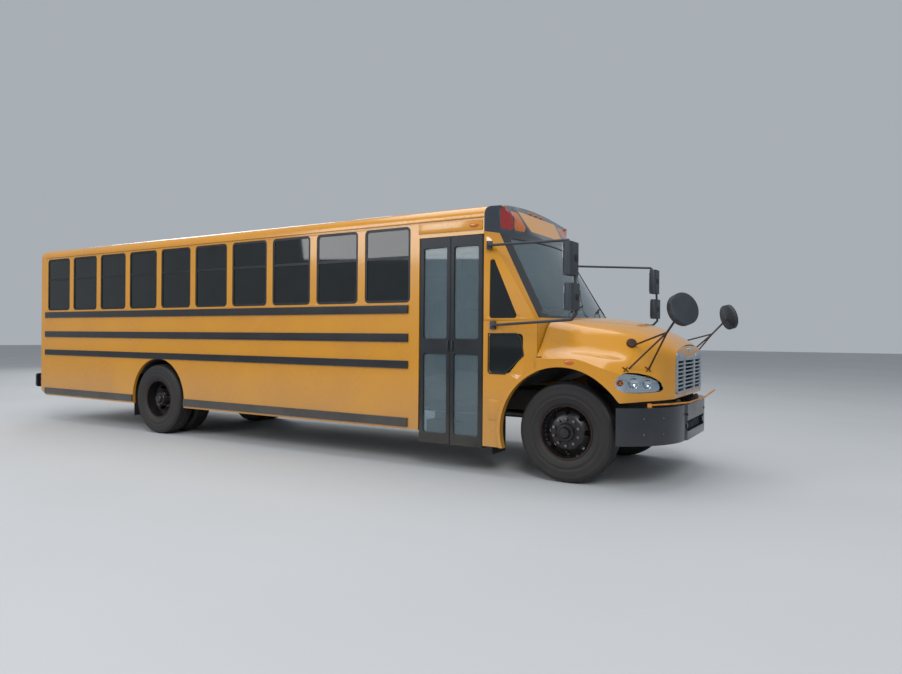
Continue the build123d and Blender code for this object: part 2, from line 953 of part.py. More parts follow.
with BuildPart() as cab_glass:
    add(nose_pane)
    add(quarter_prism.part, mode=Mode.INTERSECT)
    for side in (-1, 1):
        outer = body_half - glass_recess
        with BuildSketch(side_plane(side, outer - glass_thick, outer)):
            add(window_shape)
        extrude(amount=-glass_thick)
    with BuildSketch(Plane.YZ.offset(fwd(body_rear + glass_recess))):
        with Locations((rear_pane_y, window_mid_z), (-rear_pane_y, window_mid_z)):
            RectangleRounded(rear_pane_width, window_height, window_corner)
    extrude(amount=glass_thick)
with BuildPart() as all_glass:
    add(window_glass.part)
    add(cab_glass.part)
finish(all_glass.part, "window_glass")

# Rub rails along both sides
rub_table = [
    # foot, height
    (1793.0, 100.0),
    (1457.0, 100.0),
    (1144.0, 93.0),
    (459.0, 106.0),
]
rub_front = {-1: window_front - 22, 1: driver_window_front}
with BuildPart() as rub_rails:
    for side in (-1, 1):
        length = rub_front[side] - cap_front_face
        for foot, height in rub_table:
            with BuildSketch(side_plane(side, body_half, body_half + rub_depth)):
                with Locations((fwd(cap_front_face + length / 2), foot + height / 2)):
                    Rectangle(length, height)
                with Locations((fwd(rear_axle), axle_z)):
                    Circle(rear_arch_radius, mode=Mode.SUBTRACT)
            extrude(amount=-rub_depth)
finish(rub_rails.part, "rub_rails")

# Frame rails, C sections with their webs outward
with BuildPart() as frame_rails:
    with BuildSketch(Plane.YZ.offset(fwd(bumper_back + rear_bumper_thick))):
        with BuildLine():
            Polyline(
                (rail_y, rail_top),
                (rail_y - rail_flange, rail_top),
                (rail_y - rail_flange, rail_top - rail_web),
                (rail_y - rail_web, rail_top - rail_web),
                (rail_y - rail_web, rail_top - rail_height + rail_web),
                (rail_y - rail_flange, rail_top - rail_height + rail_web),
                (rail_y - rail_flange, rail_top - rail_height),
                (rail_y, rail_top - rail_height),
                close=True,
            )
        make_face()
    extrude(amount=rail_front - bumper_back - rear_bumper_thick)
    mirror(about=Plane.XZ)
with BuildPart() as chassis_frame:
    add(frame_rails.part)
    for station in cross_stations:
        with BuildSketch(Plane.YZ.offset(fwd(station) - cross_width / 2)):
            with Locations((0, rail_top - rail_height / 2)):
                Rectangle(2 * (rail_y - rail_web), rail_height - 2 * rail_web)
        extrude(amount=cross_width)
finish(chassis_frame.part, "chassis_frame")

# Mud flaps hung under the floor, a pair behind the front wheels and a pair behind the rear ones
with BuildPart() as mud_flaps:
    for station, middle, width in flap_table:
        with BuildSketch(Plane.XY.offset(flap_foot)):
            with Locations((fwd(station), middle), (fwd(station), -middle)):
                Rectangle(flap_thick, width)
        extrude(amount=flap_head - flap_foot)
finish(mud_flaps.part, "mud_flaps")

# Front bumper wrapped round to the tyres, with a slot for the two tow eyes
with BuildPart() as front_bumper:
    with BuildSketch(Plane.XY.offset(bumper_foot)):
        with BuildLine():
            Polyline(
                (fwd(bumper_step_x), bumper_step_y),
                (fwd(bumper_face), bumper_flat),
                (fwd(bumper_face), 0),
            )
            ThreePointArc(
                (fwd(bumper_step_x), bumper_step_y),
                (fwd(bumper_bend_x), bumper_bend_y),
                (fwd(bumper_end), bumper_half),
            )
            Line((fwd(bumper_end), bumper_half), (fwd(bumper_end), bumper_half - bumper_thick))
            ThreePointArc(
                (fwd(bumper_end), bumper_half - bumper_thick),
                (fwd(bumper_bend_x - bumper_thick * 0.85), bumper_bend_y - bumper_thick * 0.52),
                (fwd(bumper_inner), bumper_flat),
            )
            Polyline((fwd(bumper_inner), bumper_flat), (fwd(bumper_inner), 0), (fwd(bumper_face), 0))
        make_face()
        mirror(about=Plane.XZ)
    extrude(amount=bumper_head - bumper_foot)
    with BuildSketch(Plane.YZ.offset(fwd(bumper_inner))):
        with Locations((0, slot_foot + slot_height / 2)):
            SlotOverall(2 * slot_half, slot_height)
    extrude(amount=bumper_thick, mode=Mode.SUBTRACT)
    with BuildSketch(Plane.YZ.offset(fwd(rail_front))):
        for side in (-1, 1):
            with Locations((side * (rail_y - rail_flange / 2), (stub_foot + stub_head) / 2)):
                Rectangle(rail_flange, stub_head - stub_foot)
    extrude(amount=bumper_inner - rail_front)
    for side in (-1, 1):
        with BuildSketch(side_plane(side, tow_y - tow_thick / 2, tow_y + tow_thick / 2)):
            with BuildLine():
                Polyline(
                    (fwd(rail_front + tow_gap), (stub_foot + stub_head) / 2),
                    (fwd(bumper_inner - tow_gap), (stub_foot + stub_head) / 2),
                    (fwd(bumper_inner - tow_gap), tow_z + tow_radius),
                    (fwd(tow_station), tow_z + tow_radius),
                    (fwd(tow_station), tow_z - tow_radius),
                    (fwd(rail_front + tow_gap), tow_z - tow_radius),
                    close=True,
                )
            make_face()
            with Locations((fwd(tow_station), tow_z)):
                Circle(tow_radius)
                Circle(tow_bore, mode=Mode.SUBTRACT)
        extrude(amount=-tow_thick)

# Rear bumper with two holes for a number plate
with BuildPart() as rear_bumper:
    with BuildSketch(Plane.YZ.offset(fwd(bumper_back))):
        with Locations((0, rear_bumper_foot + rear_bumper_height / 2)):
            RectangleRounded(2 * rear_bumper_half, rear_bumper_height, rear_bumper_corner)
            with GridLocations(plate_pitch, 0, 2, 1):
                Circle(plate_bore, mode=Mode.SUBTRACT)
    extrude(amount=rear_bumper_thick)
with BuildPart() as bumpers:
    add(front_bumper.part)
    add(rear_bumper.part)
finish(bumpers.part, "bumpers")

# Front axle beam with eyes for the kingpins
with BuildPart() as front_axle:
    with BuildSketch(Plane.XZ.offset(-kingpin_y)):
        with Locations((fwd(0), beam_z)):
            RectangleRounded(beam_width, beam_height, beam_corner)
    extrude(amount=2 * kingpin_y)
    for side in (-1, 1):
        with BuildSketch(Plane.XY.offset(beam_z - beam_height / 2)):
            with Locations((fwd(0), side * kingpin_y)):
                Circle(eye_radius)
        extrude(amount=eye_height)
        with BuildSketch(Plane.XY.offset(beam_z - beam_height / 2)):
            with Locations((fwd(0), side * kingpin_y)):
                Circle(kingpin_radius + running_gap)
        extrude(amount=eye_height, mode=Mode.SUBTRACT)
finish(front_axle.part, "front_axle")

# Leaf springs, seated on the axles and under the rails
rail_foot = rail_top - rail_height
spring_table = [
    # axle station, top of the axle seat
    (0.0, beam_z + beam_height / 2),
    (rear_axle, axle_z + housing_radius),
]
with BuildPart() as springs:
    for station, seat_z in spring_table:
        for side in (-1, 1):
            low = side * spring_y - spring_width / 2
            ends = (fwd(station - spring_half), fwd(station + spring_half))
            with BuildSketch(Plane.XZ.offset(-low)):
                with BuildLine():
                    ThreePointArc((ends[0], rail_foot), (fwd(station), seat_z), (ends[1], rail_foot))
                    Line((ends[1], rail_foot), (ends[1] - spring_foot, rail_foot))
                    ThreePointArc(
                        (ends[1] - spring_foot, rail_foot),
                        (fwd(station), seat_z + spring_thick),
                        (ends[0] + spring_foot, rail_foot),
                    )
                    Line((ends[0] + spring_foot, rail_foot), (ends[0], rail_foot))
                make_face()
            extrude(amount=-spring_width)
finish(springs.part, "springs")

# Rear axle: a banjo housing between the wheels
with BuildPart() as rear_axle_housing:
    with BuildSketch(Plane.XZ.offset(-housing_half)):
        with Locations((fwd(rear_axle), axle_z)):
            Circle(housing_radius)
    extrude(amount=2 * housing_half)
    with BuildSketch(Plane.XZ.offset(-banjo_half)):
        with Locations((fwd(rear_axle), axle_z)):
            Circle(banjo_radius)
    extrude(amount=2 * banjo_half)
    for side in (-1, 1):
        with BuildSketch(Plane.XZ.offset(-side * housing_half)):
            with Locations((fwd(rear_axle), axle_z)):
                Circle(spindle_radius)
        extrude(amount=-side * rear_spindle)
finish(rear_axle_housing.part, "rear_axle")

# Engine, radiator and propeller shaft
with BuildPart() as engine:
    with BuildSketch(Plane.XY.offset(engine_foot)):
        with Locations((fwd(engine_station), 0)):
            Rectangle(engine_length, 2 * (rail_y - rail_flange))
    extrude(amount=engine_height)
    with BuildSketch(Plane.YZ.offset(fwd(engine_station - engine_length / 2))):
        with Locations((0, shaft_z)):
            Circle(gearbox_radius)
    extrude(amount=-gearbox_length)
finish(engine.part, "engine")

with BuildPart() as radiator:
    with BuildSketch(Plane.YZ.offset(fwd(radiator_station))):
        with Locations((0, (rail_top + radiator_head) / 2)):
            Rectangle(2 * rail_y, radiator_head - rail_top)
    extrude(amount=radiator_thick)
finish(radiator.part, "radiator")

shaft_front = engine_station - engine_length / 2 - gearbox_length
with BuildPart() as shaft:
    with BuildSketch(Plane.YZ.offset(fwd(rear_axle + banjo_radius))):
        with Locations((0, shaft_z)):
            Circle(shaft_radius)
    extrude(amount=shaft_front - rear_axle - banjo_radius)
finish(shaft.part, "propeller_shaft")

# Fuel tank on the right rail
with BuildPart() as fuel_tank:
    with BuildSketch(Plane.YZ.offset(fwd(tank_front - tank_length))):
        with Locations((-rail_y - tank_depth / 2, rail_top - tank_height / 2)):
            RectangleRounded(tank_depth, tank_height, tank_corner)
    extrude(amount=tank_length)
finish(fuel_tank.part, "fuel_tank")

# Exhaust pipe and silencer along the left rail
with BuildPart() as exhaust:
    with BuildSketch(Plane.YZ.offset(fwd(bumper_back + rear_bumper_thick + 20))):
        with Locations((rail_y + exhaust_radius, exhaust_z)):
            Circle(exhaust_radius)
    extrude(amount=rear_axle - 700 - bumper_back - rear_bumper_thick - 20)
    with BuildSketch(Plane.YZ.offset(fwd(silencer_front))):
        with Locations((rail_y + silencer_radius, exhaust_z)):
            Circle(silencer_radius)
    extrude(amount=-silencer_length)
finish(exhaust.part, "exhaust")

# Seats: a bench each side of the aisle in every row, on wall rails and aisle legs
bench_width = inner_half - aisle_half
row_stations = [seat_front - cushion_depth / 2 - i * row_pitch for i in range(row_count)]
bench_y = aisle_half + bench_width / 2
bench_places = [(fwd(s), side * bench_y) for s in row_stations for side in (-1, 1)]
back_places = [(x - cushion_depth / 2 + back_thick / 2, y) for x, y in bench_places]
seat_rail_x = fwd(seat_front - row_count * row_pitch / 2)
seat_rail_y = inner_half - seat_rail_width / 2
leg_places = [(x, math.copysign(aisle_half + leg_inset, y)) for x, y in bench_places]
with BuildPart() as seat_frames:
    with BuildSketch(Plane.XY.offset(floor_top)):
        with Locations(leg_places):
            Rectangle(leg_length, leg_thick)
    extrude(amount=bench_foot - floor_top)
    with BuildSketch(Plane.XY.offset(bench_foot - seat_rail_width)):
        with Locations((seat_rail_x, -seat_rail_y), (seat_rail_x, seat_rail_y)):
            Rectangle(row_count * row_pitch, seat_rail_width)
    extrude(amount=seat_rail_width)
finish(seat_frames.part, "seat_frames")

with BuildPart() as seat_cushions:
    with BuildSketch(Plane.XY.offset(bench_foot)):
        with Locations(bench_places):
            Rectangle(cushion_depth, bench_width - seat_wall_gap)
    extrude(amount=cushion_thick)
finish(seat_cushions.part, "seat_cushions")

with BuildPart() as seat_backs:
    with BuildSketch(Plane.XY.offset(bench_foot + cushion_thick)):
        with Locations(back_places):
            Rectangle(back_thick, bench_width - seat_wall_gap)
    extrude(amount=back_height)
finish(seat_backs.part, "seat_backs")

# Driver's seat on its pedestal, and the steering wheel on its column
driver_x = fwd(driver_station)
with BuildPart() as driver_seat:
    with BuildSketch(Plane.XY.offset(floor_top)):
        with Locations((driver_x, driver_y)):
            Rectangle(300, 300)
    extrude(amount=driver_cushion_foot - floor_top)
    with BuildSketch(Plane.XY.offset(driver_cushion_foot)):
        with Locations((driver_x, driver_y)):
            RectangleRounded(480, 500, 60)
    extrude(amount=120)
    with BuildSketch(Plane.XY.offset(driver_cushion_foot + 120)):
        with Locations((driver_x - 190, driver_y)):
            Rectangle(100, 480)
    extrude(amount=700)
finish(driver_seat.part, "driver_seat")

column_plane = Plane(
    origin=(fwd(column_station), driver_y, column_z), z_dir=(-math.cos(column_lean), 0, math.sin(column_lean))
)
with BuildPart() as steering_wheel:
    with BuildSketch(column_plane):
        Circle(steering_radius)
        Circle(steering_radius - 28, mode=Mode.SUBTRACT)
        with PolarLocations(0, 3, start_angle=90):
            with Locations((steering_radius / 2 - 10, 0)):
                Rectangle(steering_radius - 20, 30)
        Circle(50)
    extrude(amount=28)
    with BuildSketch(column_plane):
        Circle(28)
    extrude(amount=-column_length)
    add(bulkhead.part, mode=Mode.SUBTRACT)
finish(steering_wheel.part, "steering_wheel")


# Bonnet with its front wings: one tilting shell, lofted through upright sections
def hood_section(row, setback, inset):
    station, crown, *edge = row
    shoulder, valley, wing, side = zip(edge[0::2], edge[1::2])
    with BuildSketch(Plane.YZ.offset(fwd(station - setback))) as outline:
        with BuildLine():
            for hand in (1, -1):
                points = [(hand * (y - inset), z - inset) for y, z in (shoulder, valley, wing, side)]
                Line(points[0], points[1])
                ThreePointArc(*points[1:])
                Polyline(points[3], (hand * (side[0] - inset), hood_floor), (0, hood_floor))
            ThreePointArc(
                (shoulder[0] - inset, shoulder[1] - inset),
                (0, crown - inset),
                (-shoulder[0] + inset, shoulder[1] - inset),
            )
        make_face()
    return outline.sketch


def hood_form(inset):
    sections = [hood_section(row, 0, inset) for row in hood_table[:-1]]
    sections.append(hood_section(hood_table[-1], inset, inset))
    with BuildPart() as form:
        loft(sections)
    return form.part


hood_outside = hood_form(0)
hood_inside = hood_form(hood_wall)

clearance_plan = cowl_plan(-hood_gap)
with BuildPart() as cowl_clearance:
    with BuildSketch(Plane.XY.offset(skirt_z)):
        add(clearance_plan)
    extrude(amount=roof_z - skirt_z)

with BuildPart() as hood_foot_cut:
    with BuildSketch(Plane.XZ.offset(2 * fender_half)):
        with BuildLine():
            Polyline(
                (fwd(hood_rear - cut_reach), 0),
                (fwd(hood_rear - cut_reach), hood_rear_foot),
                (fwd(0), hood_rear_foot),
                (fwd(wing_front), fender_front_z),
                (fwd(hood_front + cut_reach), hood_foot),
                (fwd(hood_front + cut_reach), 0),
                close=True,
            )
        make_face()
        with Locations((fwd(0), axle_z)):
            Circle(arch_radius)
    extrude(amount=-4 * fender_half)

with BuildPart() as grille_prism:
    with BuildSketch(Plane.YZ.offset(fwd(hood_front - 200))) as outline:
        with BuildLine():
            Polyline(
                (-grille_half, grille_foot),
                (grille_half, grille_foot),
                (grille_half + 20, grille_head),
                (grille_notch + 40, grille_head),
                (grille_notch, grille_head - grille_dip),
                (-grille_notch, grille_head - grille_dip),
                (-grille_notch - 40, grille_head),
                (-grille_half - 20, grille_head),
                close=True,
            )
        make_face()
        fillet(outline.vertices().sort_by_distance((fwd(hood_front), 0, grille_foot))[-4:], 40)
    extrude(amount=400)


def lamp_prism(side):
    plane = Plane(
        origin=(fwd(lamp_station), side * lamp_y, lamp_z),
        x_dir=(math.sin(lamp_angle), -side * math.cos(lamp_angle), 0),
        z_dir=(math.cos(lamp_angle), side * math.sin(lamp_angle), 0),
    )
    flip = 1 if plane.y_dir.Z > 0 else -1
    with BuildPart() as prism:
        with BuildSketch(plane) as outline:
            with BuildLine():
                Polyline(
                    (-lamp_half, flip * 20),
                    (-lamp_half + 70, flip * 115),
                    (lamp_half - 170, flip * 85),
                    (lamp_half, flip * -70),
                    (lamp_half - 40, flip * -100),
                    (-lamp_half + 70, flip * -90),
                    close=True,
                )
            make_face()
            fillet(outline.vertices(), 22)
        extrude(amount=lamp_reach, both=True)
    return prism.part


lamp_prism_pair = [lamp_prism(-1), lamp_prism(1)]
with BuildPart() as lamp_prisms:
    add(lamp_prism_pair)

with BuildPart() as hood:
    add(hood_outside)
    add(hood_inside, mode=Mode.SUBTRACT)
    add(hood_foot_cut.part, mode=Mode.SUBTRACT)
    add(cowl_clearance.part, mode=Mode.SUBTRACT)
    add(grille_prism.part, mode=Mode.SUBTRACT)
    add(lamp_prisms.part, mode=Mode.SUBTRACT)
    for side in (-1, 1):
        with BuildSketch(side_plane(side, hinge_y, hinge_y + hinge_thick)):
            with Locations((fwd(hinge_station), hinge_z)):
                Circle(hinge_boss)
            with BuildLine():
                Polyline(
                    (fwd(hinge_station - hinge_boss), hinge_z),
                    (fwd(hinge_station + hinge_boss), hinge_z),
                    (fwd(hood_front - 2), hood_foot + 30),
                    (fwd(hood_front - 2), grille_foot - 2),
                    (fwd(hood_front - hood_wall - 20), grille_foot - 2),
                    close=True,
                )
            make_face()
            with Locations((fwd(hinge_station), hinge_z)):
                Circle(hinge_pin + running_gap, mode=Mode.SUBTRACT)
        extrude(amount=-hinge_thick)
finish(hood.part, "hood")

with BuildPart() as headlights:
    add(hood_outside)
    add(hood_inside, mode=Mode.SUBTRACT)
    add(lamp_prisms.part, mode=Mode.INTERSECT)
finish(headlights.part, "headlights")

# Grille: a bordered frame with bars and two columns of links
with BuildPart() as grille:
    add(grille_prism.part)
    with BuildSketch(Plane.XZ.offset(fender_half)):
        with Locations((fwd(hood_front + grille_proud - grille_depth / 2), grille_head)):
            Rectangle(grille_depth, 2 * grille_head)
    extrude(amount=-2 * fender_half, mode=Mode.INTERSECT)
    slot_pitch = (grille_head - grille_dip - grille_foot - 2 * grille_border) / slot_count
    with BuildSketch(Plane.YZ.offset(fwd(hood_front + grille_proud))):
        for i in range(slot_count):
            slot_z = grille_foot + grille_border + (i + 0.5) * slot_pitch
            for middle, width in slot_table:
                with Locations((middle, slot_z)):
                    Rectangle(width, slot_pitch - bar_height)
    extrude(amount=-grille_depth, mode=Mode.SUBTRACT)
finish(grille.part, "grille")


def bent_rod(points, radius):
    """Round bar along straight runs, with a ball at each bend."""
    with BuildPart() as bar:
        for start, end in zip(points[:-1], points[1:]):
            run = Vector(*end) - Vector(*start)
            with BuildSketch(Plane(origin=start, z_dir=run)):
                Circle(radius)
            extrude(amount=run.length)
        for bend in points[1:-1]:
            with Locations(bend):
                Sphere(radius)
    return bar.part


def mirrored(piece):
    return mirror(piece, about=Plane.XZ)


# Crossover mirrors on their tripods
mirror_normal = Vector(xmirror_nx, xmirror_ny, xmirror_nz).normalized()
xmirror_station = mirror_reach - xmirror_radius * math.sqrt(1 - mirror_normal.X**2)
mirror_centre = Vector(fwd(xmirror_station), -xmirror_y, xmirror_z)
mirror_joint = (fwd(joint_station), -joint_y, joint_z)
mirror_plane = Plane(origin=mirror_centre, z_dir=mirror_normal)
mirror_back = tuple(mirror_centre - mirror_normal * (xmirror_thick / 2))
mirror_rods = [bent_rod([(fwd(x), -y, z), mirror_joint], rod_radius) for x, y, z in foot_table]
mirror_rods.append(bent_rod([mirror_joint, mirror_back], rod_radius + 2))
with BuildPart() as crossover:
    with BuildSketch(mirror_plane):
        Circle(xmirror_radius)
    extrude(amount=-xmirror_thick)
    add(mirror_rods)
    add(hood_outside, mode=Mode.SUBTRACT)
crossover_left = mirrored(crossover.part)
with BuildPart() as crossover_mirrors:
    add(crossover.part)
    add(crossover_left)
finish(crossover_mirrors.part, "crossover_mirrors")

# Pins and brackets on the frame for the bonnet
with BuildPart() as hood_hinges:
    for side in (-1, 1):
        with BuildSketch(side_plane(side, rail_y, hinge_y - running_gap)):
            with BuildLine():
                Polyline(
                    (fwd(rail_front - 120), rail_top - rail_height + 20),
                    (fwd(rail_front - 120), rail_top - 20),
                    (fwd(hinge_station - hinge_boss), hinge_z),
                    (fwd(hinge_station + hinge_boss), hinge_z),
                    (fwd(hinge_station + hinge_boss), hinge_z - 50),
                    (fwd(rail_front - 10), rail_top - rail_height + 20),
                    close=True,
                )
            make_face()
            with Locations((fwd(hinge_station), hinge_z)):
                Circle(hinge_boss)
        extrude(amount=-(hinge_y - running_gap - rail_y))
        with BuildSketch(side_plane(side, hinge_y - running_gap, hinge_y + hinge_thick + 6)):
            with Locations((fwd(hinge_station), hinge_z)):
                Circle(hinge_pin)
        extrude(amount=-(hinge_thick + 6 + running_gap))


# Steering knuckle, made for the right side
yoke_foot = beam_z - beam_height / 2 - yoke_thick - running_gap


def knuckle(side):
    with BuildPart() as piece:
        with BuildSketch(Plane.XY.offset(yoke_foot)):
            with Locations((fwd(0), -kingpin_y)):
                Circle(yoke_radius)
            with Locations((fwd(0), -kingpin_y - yoke_reach / 2)):
                Rectangle(2 * yoke_radius, yoke_reach)
        extrude(amount=yoke_thick)
        with BuildSketch(Plane.XY.offset(beam_z - beam_height / 2 + eye_height + running_gap)):
            with Locations((fwd(0), -kingpin_y)):
                Circle(yoke_radius)
            with Locations((fwd(0), -kingpin_y - yoke_reach / 2)):
                Rectangle(2 * yoke_radius, yoke_reach)
        extrude(amount=yoke_thick)
        with BuildSketch(Plane.XY.offset(yoke_foot)):
            with Locations((fwd(0), -kingpin_y - yoke_reach + yoke_thick / 2)):
                Rectangle(2 * yoke_radius, yoke_thick)
        extrude(amount=eye_height + 2 * yoke_thick + 2 * running_gap)
        with BuildSketch(Plane.XY.offset(yoke_foot)):
            with Locations((fwd(0), -kingpin_y)):
                Circle(kingpin_radius)
        extrude(amount=eye_height + 2 * yoke_thick + 2 * running_gap)
        with BuildSketch(Plane.XZ.offset(kingpin_y + yoke_reach)):
            with Locations((fwd(0), axle_z)):
                Circle(spindle_radius)
        extrude(amount=spindle_length)
        with BuildSketch(Plane.XY.offset(yoke_foot)):
            with BuildLine():
                Polyline(
                    (fwd(0), -kingpin_y - 40),
                    (fwd(0), -kingpin_y + 40),
                    (fwd(-arm_length), -kingpin_y + arm_half),
                    (fwd(-arm_length - arm_half), -kingpin_y),
                    (fwd(-arm_length), -kingpin_y - arm_half),
                    close=True,
                )
            make_face()
        extrude(amount=yoke_thick)
        with BuildSketch(Plane.XY.offset(yoke_foot)):
            with Locations((fwd(-arm_length), -kingpin_y)):
                Circle(arm_pin_radius)
        extrude(amount=-pin_drop)
    if side > 0:
        return mirrored(piece.part)
    return piece.part


finish(knuckle(-1), "knuckle_right")
finish(knuckle(1), "knuckle_left")

# Track rod, hung on the right arm's pin and open at the left one
rod_top = yoke_foot - running_gap
with BuildPart() as track_rod:
    with BuildSketch(Plane.XY.offset(rod_top)):
        with Locations((fwd(-arm_length), -kingpin_y), (fwd(-arm_length), kingpin_y)):
            Circle(rod_end_radius)
        with Locations((fwd(-arm_length), 0)):
            Rectangle(2 * track_rod_radius, 2 * kingpin_y)
    extrude(amount=-rod_end_thick)
    with BuildSketch(Plane.XY.offset(rod_top)):
        with Locations((fwd(-arm_length), -kingpin_y)):
            Circle(arm_pin_radius + running_gap)
        with Locations((fwd(-arm_length), kingpin_y)):
            Circle(arm_pin_radius + open_pin_gap)
    extrude(amount=-rod_end_thick, mode=Mode.SUBTRACT)
finish(track_rod.part, "track_rod")


# Wheels and tyres: revolved about the wheel's own axis, outer face towards -Y
def tyre(station, middle):
    with BuildPart() as piece:
        with BuildSketch(Plane.YZ.offset(fwd(station))) as outline:
            with BuildLine():
                half = tyre_width / 2
                Polyline(
                    (middle - rim_half, axle_z + rim_radius),
                    (middle - half, axle_z + rim_radius + 90),
                    (middle - half, axle_z + tyre_radius - 75),
                    (middle - half + 30, axle_z + tyre_radius - 8),
                    (middle, axle_z + tyre_radius),
                    (middle + half - 30, axle_z + tyre_radius - 8),
                    (middle + half, axle_z + tyre_radius - 75),
                    (middle + half, axle_z + rim_radius + 90),
                    (middle + rim_half, axle_z + rim_radius),
                    close=True,
                )
            make_face()
        revolve(axis=Axis((fwd(station), 0, axle_z), (0, 1, 0)))
    return piece.part


def wheel(station, middle, face_y, joint_y, hub_out, hub_in):
    """Rim, dished disc and hub. face_y is the bolting face and joint_y where the disc meets the rim."""
    lean = math.copysign(disc_thick, face_y - joint_y)
    with BuildPart() as piece:
        with BuildSketch(Plane.YZ.offset(fwd(station))):
            with Locations((middle, axle_z + rim_radius - rim_wall / 2)):
                Rectangle(2 * rim_half, rim_wall)
            with BuildLine():
                Polyline(
                    (face_y, axle_z + hub_radius - 5),
                    (face_y, axle_z + flange_radius),
                    (joint_y, axle_z + rim_radius - rim_wall / 2),
                    (joint_y - lean, axle_z + rim_radius - rim_wall / 2),
                    (face_y - lean, axle_z + flange_radius),
                    (face_y - lean, axle_z + hub_radius - 5),
                    close=True,
                )
            make_face()
            with BuildLine():
                Polyline(
                    (hub_out, axle_z),
                    (hub_out, axle_z + hub_radius),
                    (hub_in, axle_z + hub_radius),
                    (hub_in, axle_z + spindle_radius + running_gap),
                    (hub_out + hub_cap, axle_z + spindle_radius + running_gap),
                    (hub_out + hub_cap, axle_z),
                    close=True,
                )
            make_face()
        revolve(axis=Axis((fwd(station), 0, axle_z), (0, 1, 0)))
        with BuildSketch(Plane.XZ.offset(-middle - rim_half)):
            with Locations((fwd(station), axle_z)):
                with PolarLocations(hand_hole_circle, hand_hole_count):
                    Circle(hand_hole_radius)
        extrude(amount=2 * rim_half + 200, mode=Mode.SUBTRACT)
    return piece.part


def front_wheel():
    inner = -kingpin_y - yoke_reach - running_gap
    outer = inner - spindle_length - hub_cap - running_gap
    return wheel(0, -front_wheel_y, -front_wheel_y - front_offset, -front_wheel_y, outer, inner)


def rear_wheel(out):
    """One of a pair of rear wheels: out is 1 for the outer wheel and -1 for the inner one."""
    inner = -housing_half - running_gap
    outer = inner - rear_spindle - hub_cap - running_gap
    middle = -rear_wheel_y - out * dual_spacing / 2
    face = -rear_wheel_y - out * disc_thick / 2
    return wheel(rear_axle, middle, face, middle + out * 20, outer, inner)


right_front_wheel = front_wheel()
right_front_tyre = tyre(0, -front_wheel_y)
finish(right_front_wheel, "wheel_front_right")
finish(right_front_tyre, "tyre_front_right")
finish(mirrored(right_front_wheel), "wheel_front_left")
finish(mirrored(right_front_tyre), "tyre_front_left")

rear_pair = [rear_wheel(-1), rear_wheel(1)]
rear_tyre_pair = [tyre(rear_axle, -rear_wheel_y + side * dual_spacing / 2) for side in (-1, 1)]
with BuildPart() as rear_wheels:
    add(rear_pair)
with BuildPart() as rear_tyres:
    add(rear_tyre_pair)
finish(rear_wheels.part, "wheels_rear_right")
finish(rear_tyres.part, "tyres_rear_right")
finish(mirrored(rear_wheels.part), "wheels_rear_left")
finish(mirrored(rear_tyres.part), "tyres_rear_left")

# Entrance door leaves: each a frame round an upper and a lower pane, on a pin in the header
leaf_width = door_width / 2 - leaf_pivot_inset - door_seam / 2
leaf_foot = door_sill + door_gap
leaf_height = door_top - door_gap - leaf_foot
pane_width = leaf_width - 1.5 * leaf_stile


def door_leaf(pivot, hand):
    middle = fwd(pivot + hand * leaf_width / 2)
    with BuildPart() as leaf:
        with BuildSketch(side_plane(-1, body_half - door_thick, body_half)):
            with Locations((middle, leaf_foot + leaf_height / 2)):
                Rectangle(leaf_width, leaf_height)
            for low, high in leaf_panes:
                with Locations((middle, (low + high) / 2)):
                    RectangleRounded(pane_width, high - low, leaf_corner, mode=Mode.SUBTRACT)
        extrude(amount=-door_thick)
        with BuildSketch(Plane.XY.offset(leaf_foot)):
            with Locations((fwd(pivot), -leaf_pivot_y)):
                Circle(door_thick / 2)
        extrude(amount=leaf_height)
        with BuildSketch(Plane.XY.offset(leaf_foot + leaf_height)):
            with Locations((fwd(pivot), -leaf_pivot_y)):
                Circle(leaf_pin)
        extrude(amount=leaf_pin_height)
    return leaf.part


def leaf_glass(pivot, hand):
    with BuildPart() as glass:
        with BuildSketch(side_plane(-1, leaf_pivot_y - glass_thick / 2, leaf_pivot_y + glass_thick / 2)):
            for low, high in leaf_panes:
                with Locations((fwd(pivot + hand * leaf_width / 2), (low + high) / 2)):
                    RectangleRounded(pane_width, high - low, leaf_corner)
        extrude(amount=-glass_thick)
    return glass.part


for name, pivot, hand in (("door_front", leaf_pivots[0], -1), ("door_rear", leaf_pivots[1], 1)):
    finish(door_leaf(pivot, hand), name + "_leaf")
    finish(leaf_glass(pivot, hand), name + "_glass")

# Emergency door at the rear, on three hinges along its right edge
rear_pane_z = window_mid_z - rear_pane_drop / 2
rear_pane_height = window_height - 2 * rear_pane_drop
hinge_x = fwd(body_rear - hinge_stand)
with BuildPart() as emergency_door:
    with BuildSketch(Plane.YZ.offset(fwd(body_rear))):
        with Locations((0, (floor_top + rear_door_top) / 2)):
            Rectangle(2 * (rear_door_half - door_gap), rear_door_top - floor_top - 2 * door_gap)
        with Locations((0, rear_pane_z)):
            RectangleRounded(rear_door_pane, rear_pane_height, window_corner, mode=Mode.SUBTRACT)
        with Locations((0, rear_low_pane_z)):
            RectangleRounded(rear_door_pane, rear_low_pane_height, window_corner, mode=Mode.SUBTRACT)
    extrude(amount=door_thick)
    for height in hinge_heights:
        with BuildSketch(Plane.XY.offset(height - hinge_barrel_half)):
            with Locations((hinge_x, -rear_door_half)):
                Circle(hinge_barrel)
            with Locations((fwd(body_rear) - hinge_strap_thick / 2, hinge_strap / 2 - rear_door_half)):
                Rectangle(hinge_strap_thick, hinge_strap)
            with Locations((hinge_x, -rear_door_half)):
                Circle(hinge_bolt + running_gap, mode=Mode.SUBTRACT)
        extrude(amount=2 * hinge_barrel_half)
finish(emergency_door.part, "emergency_door")

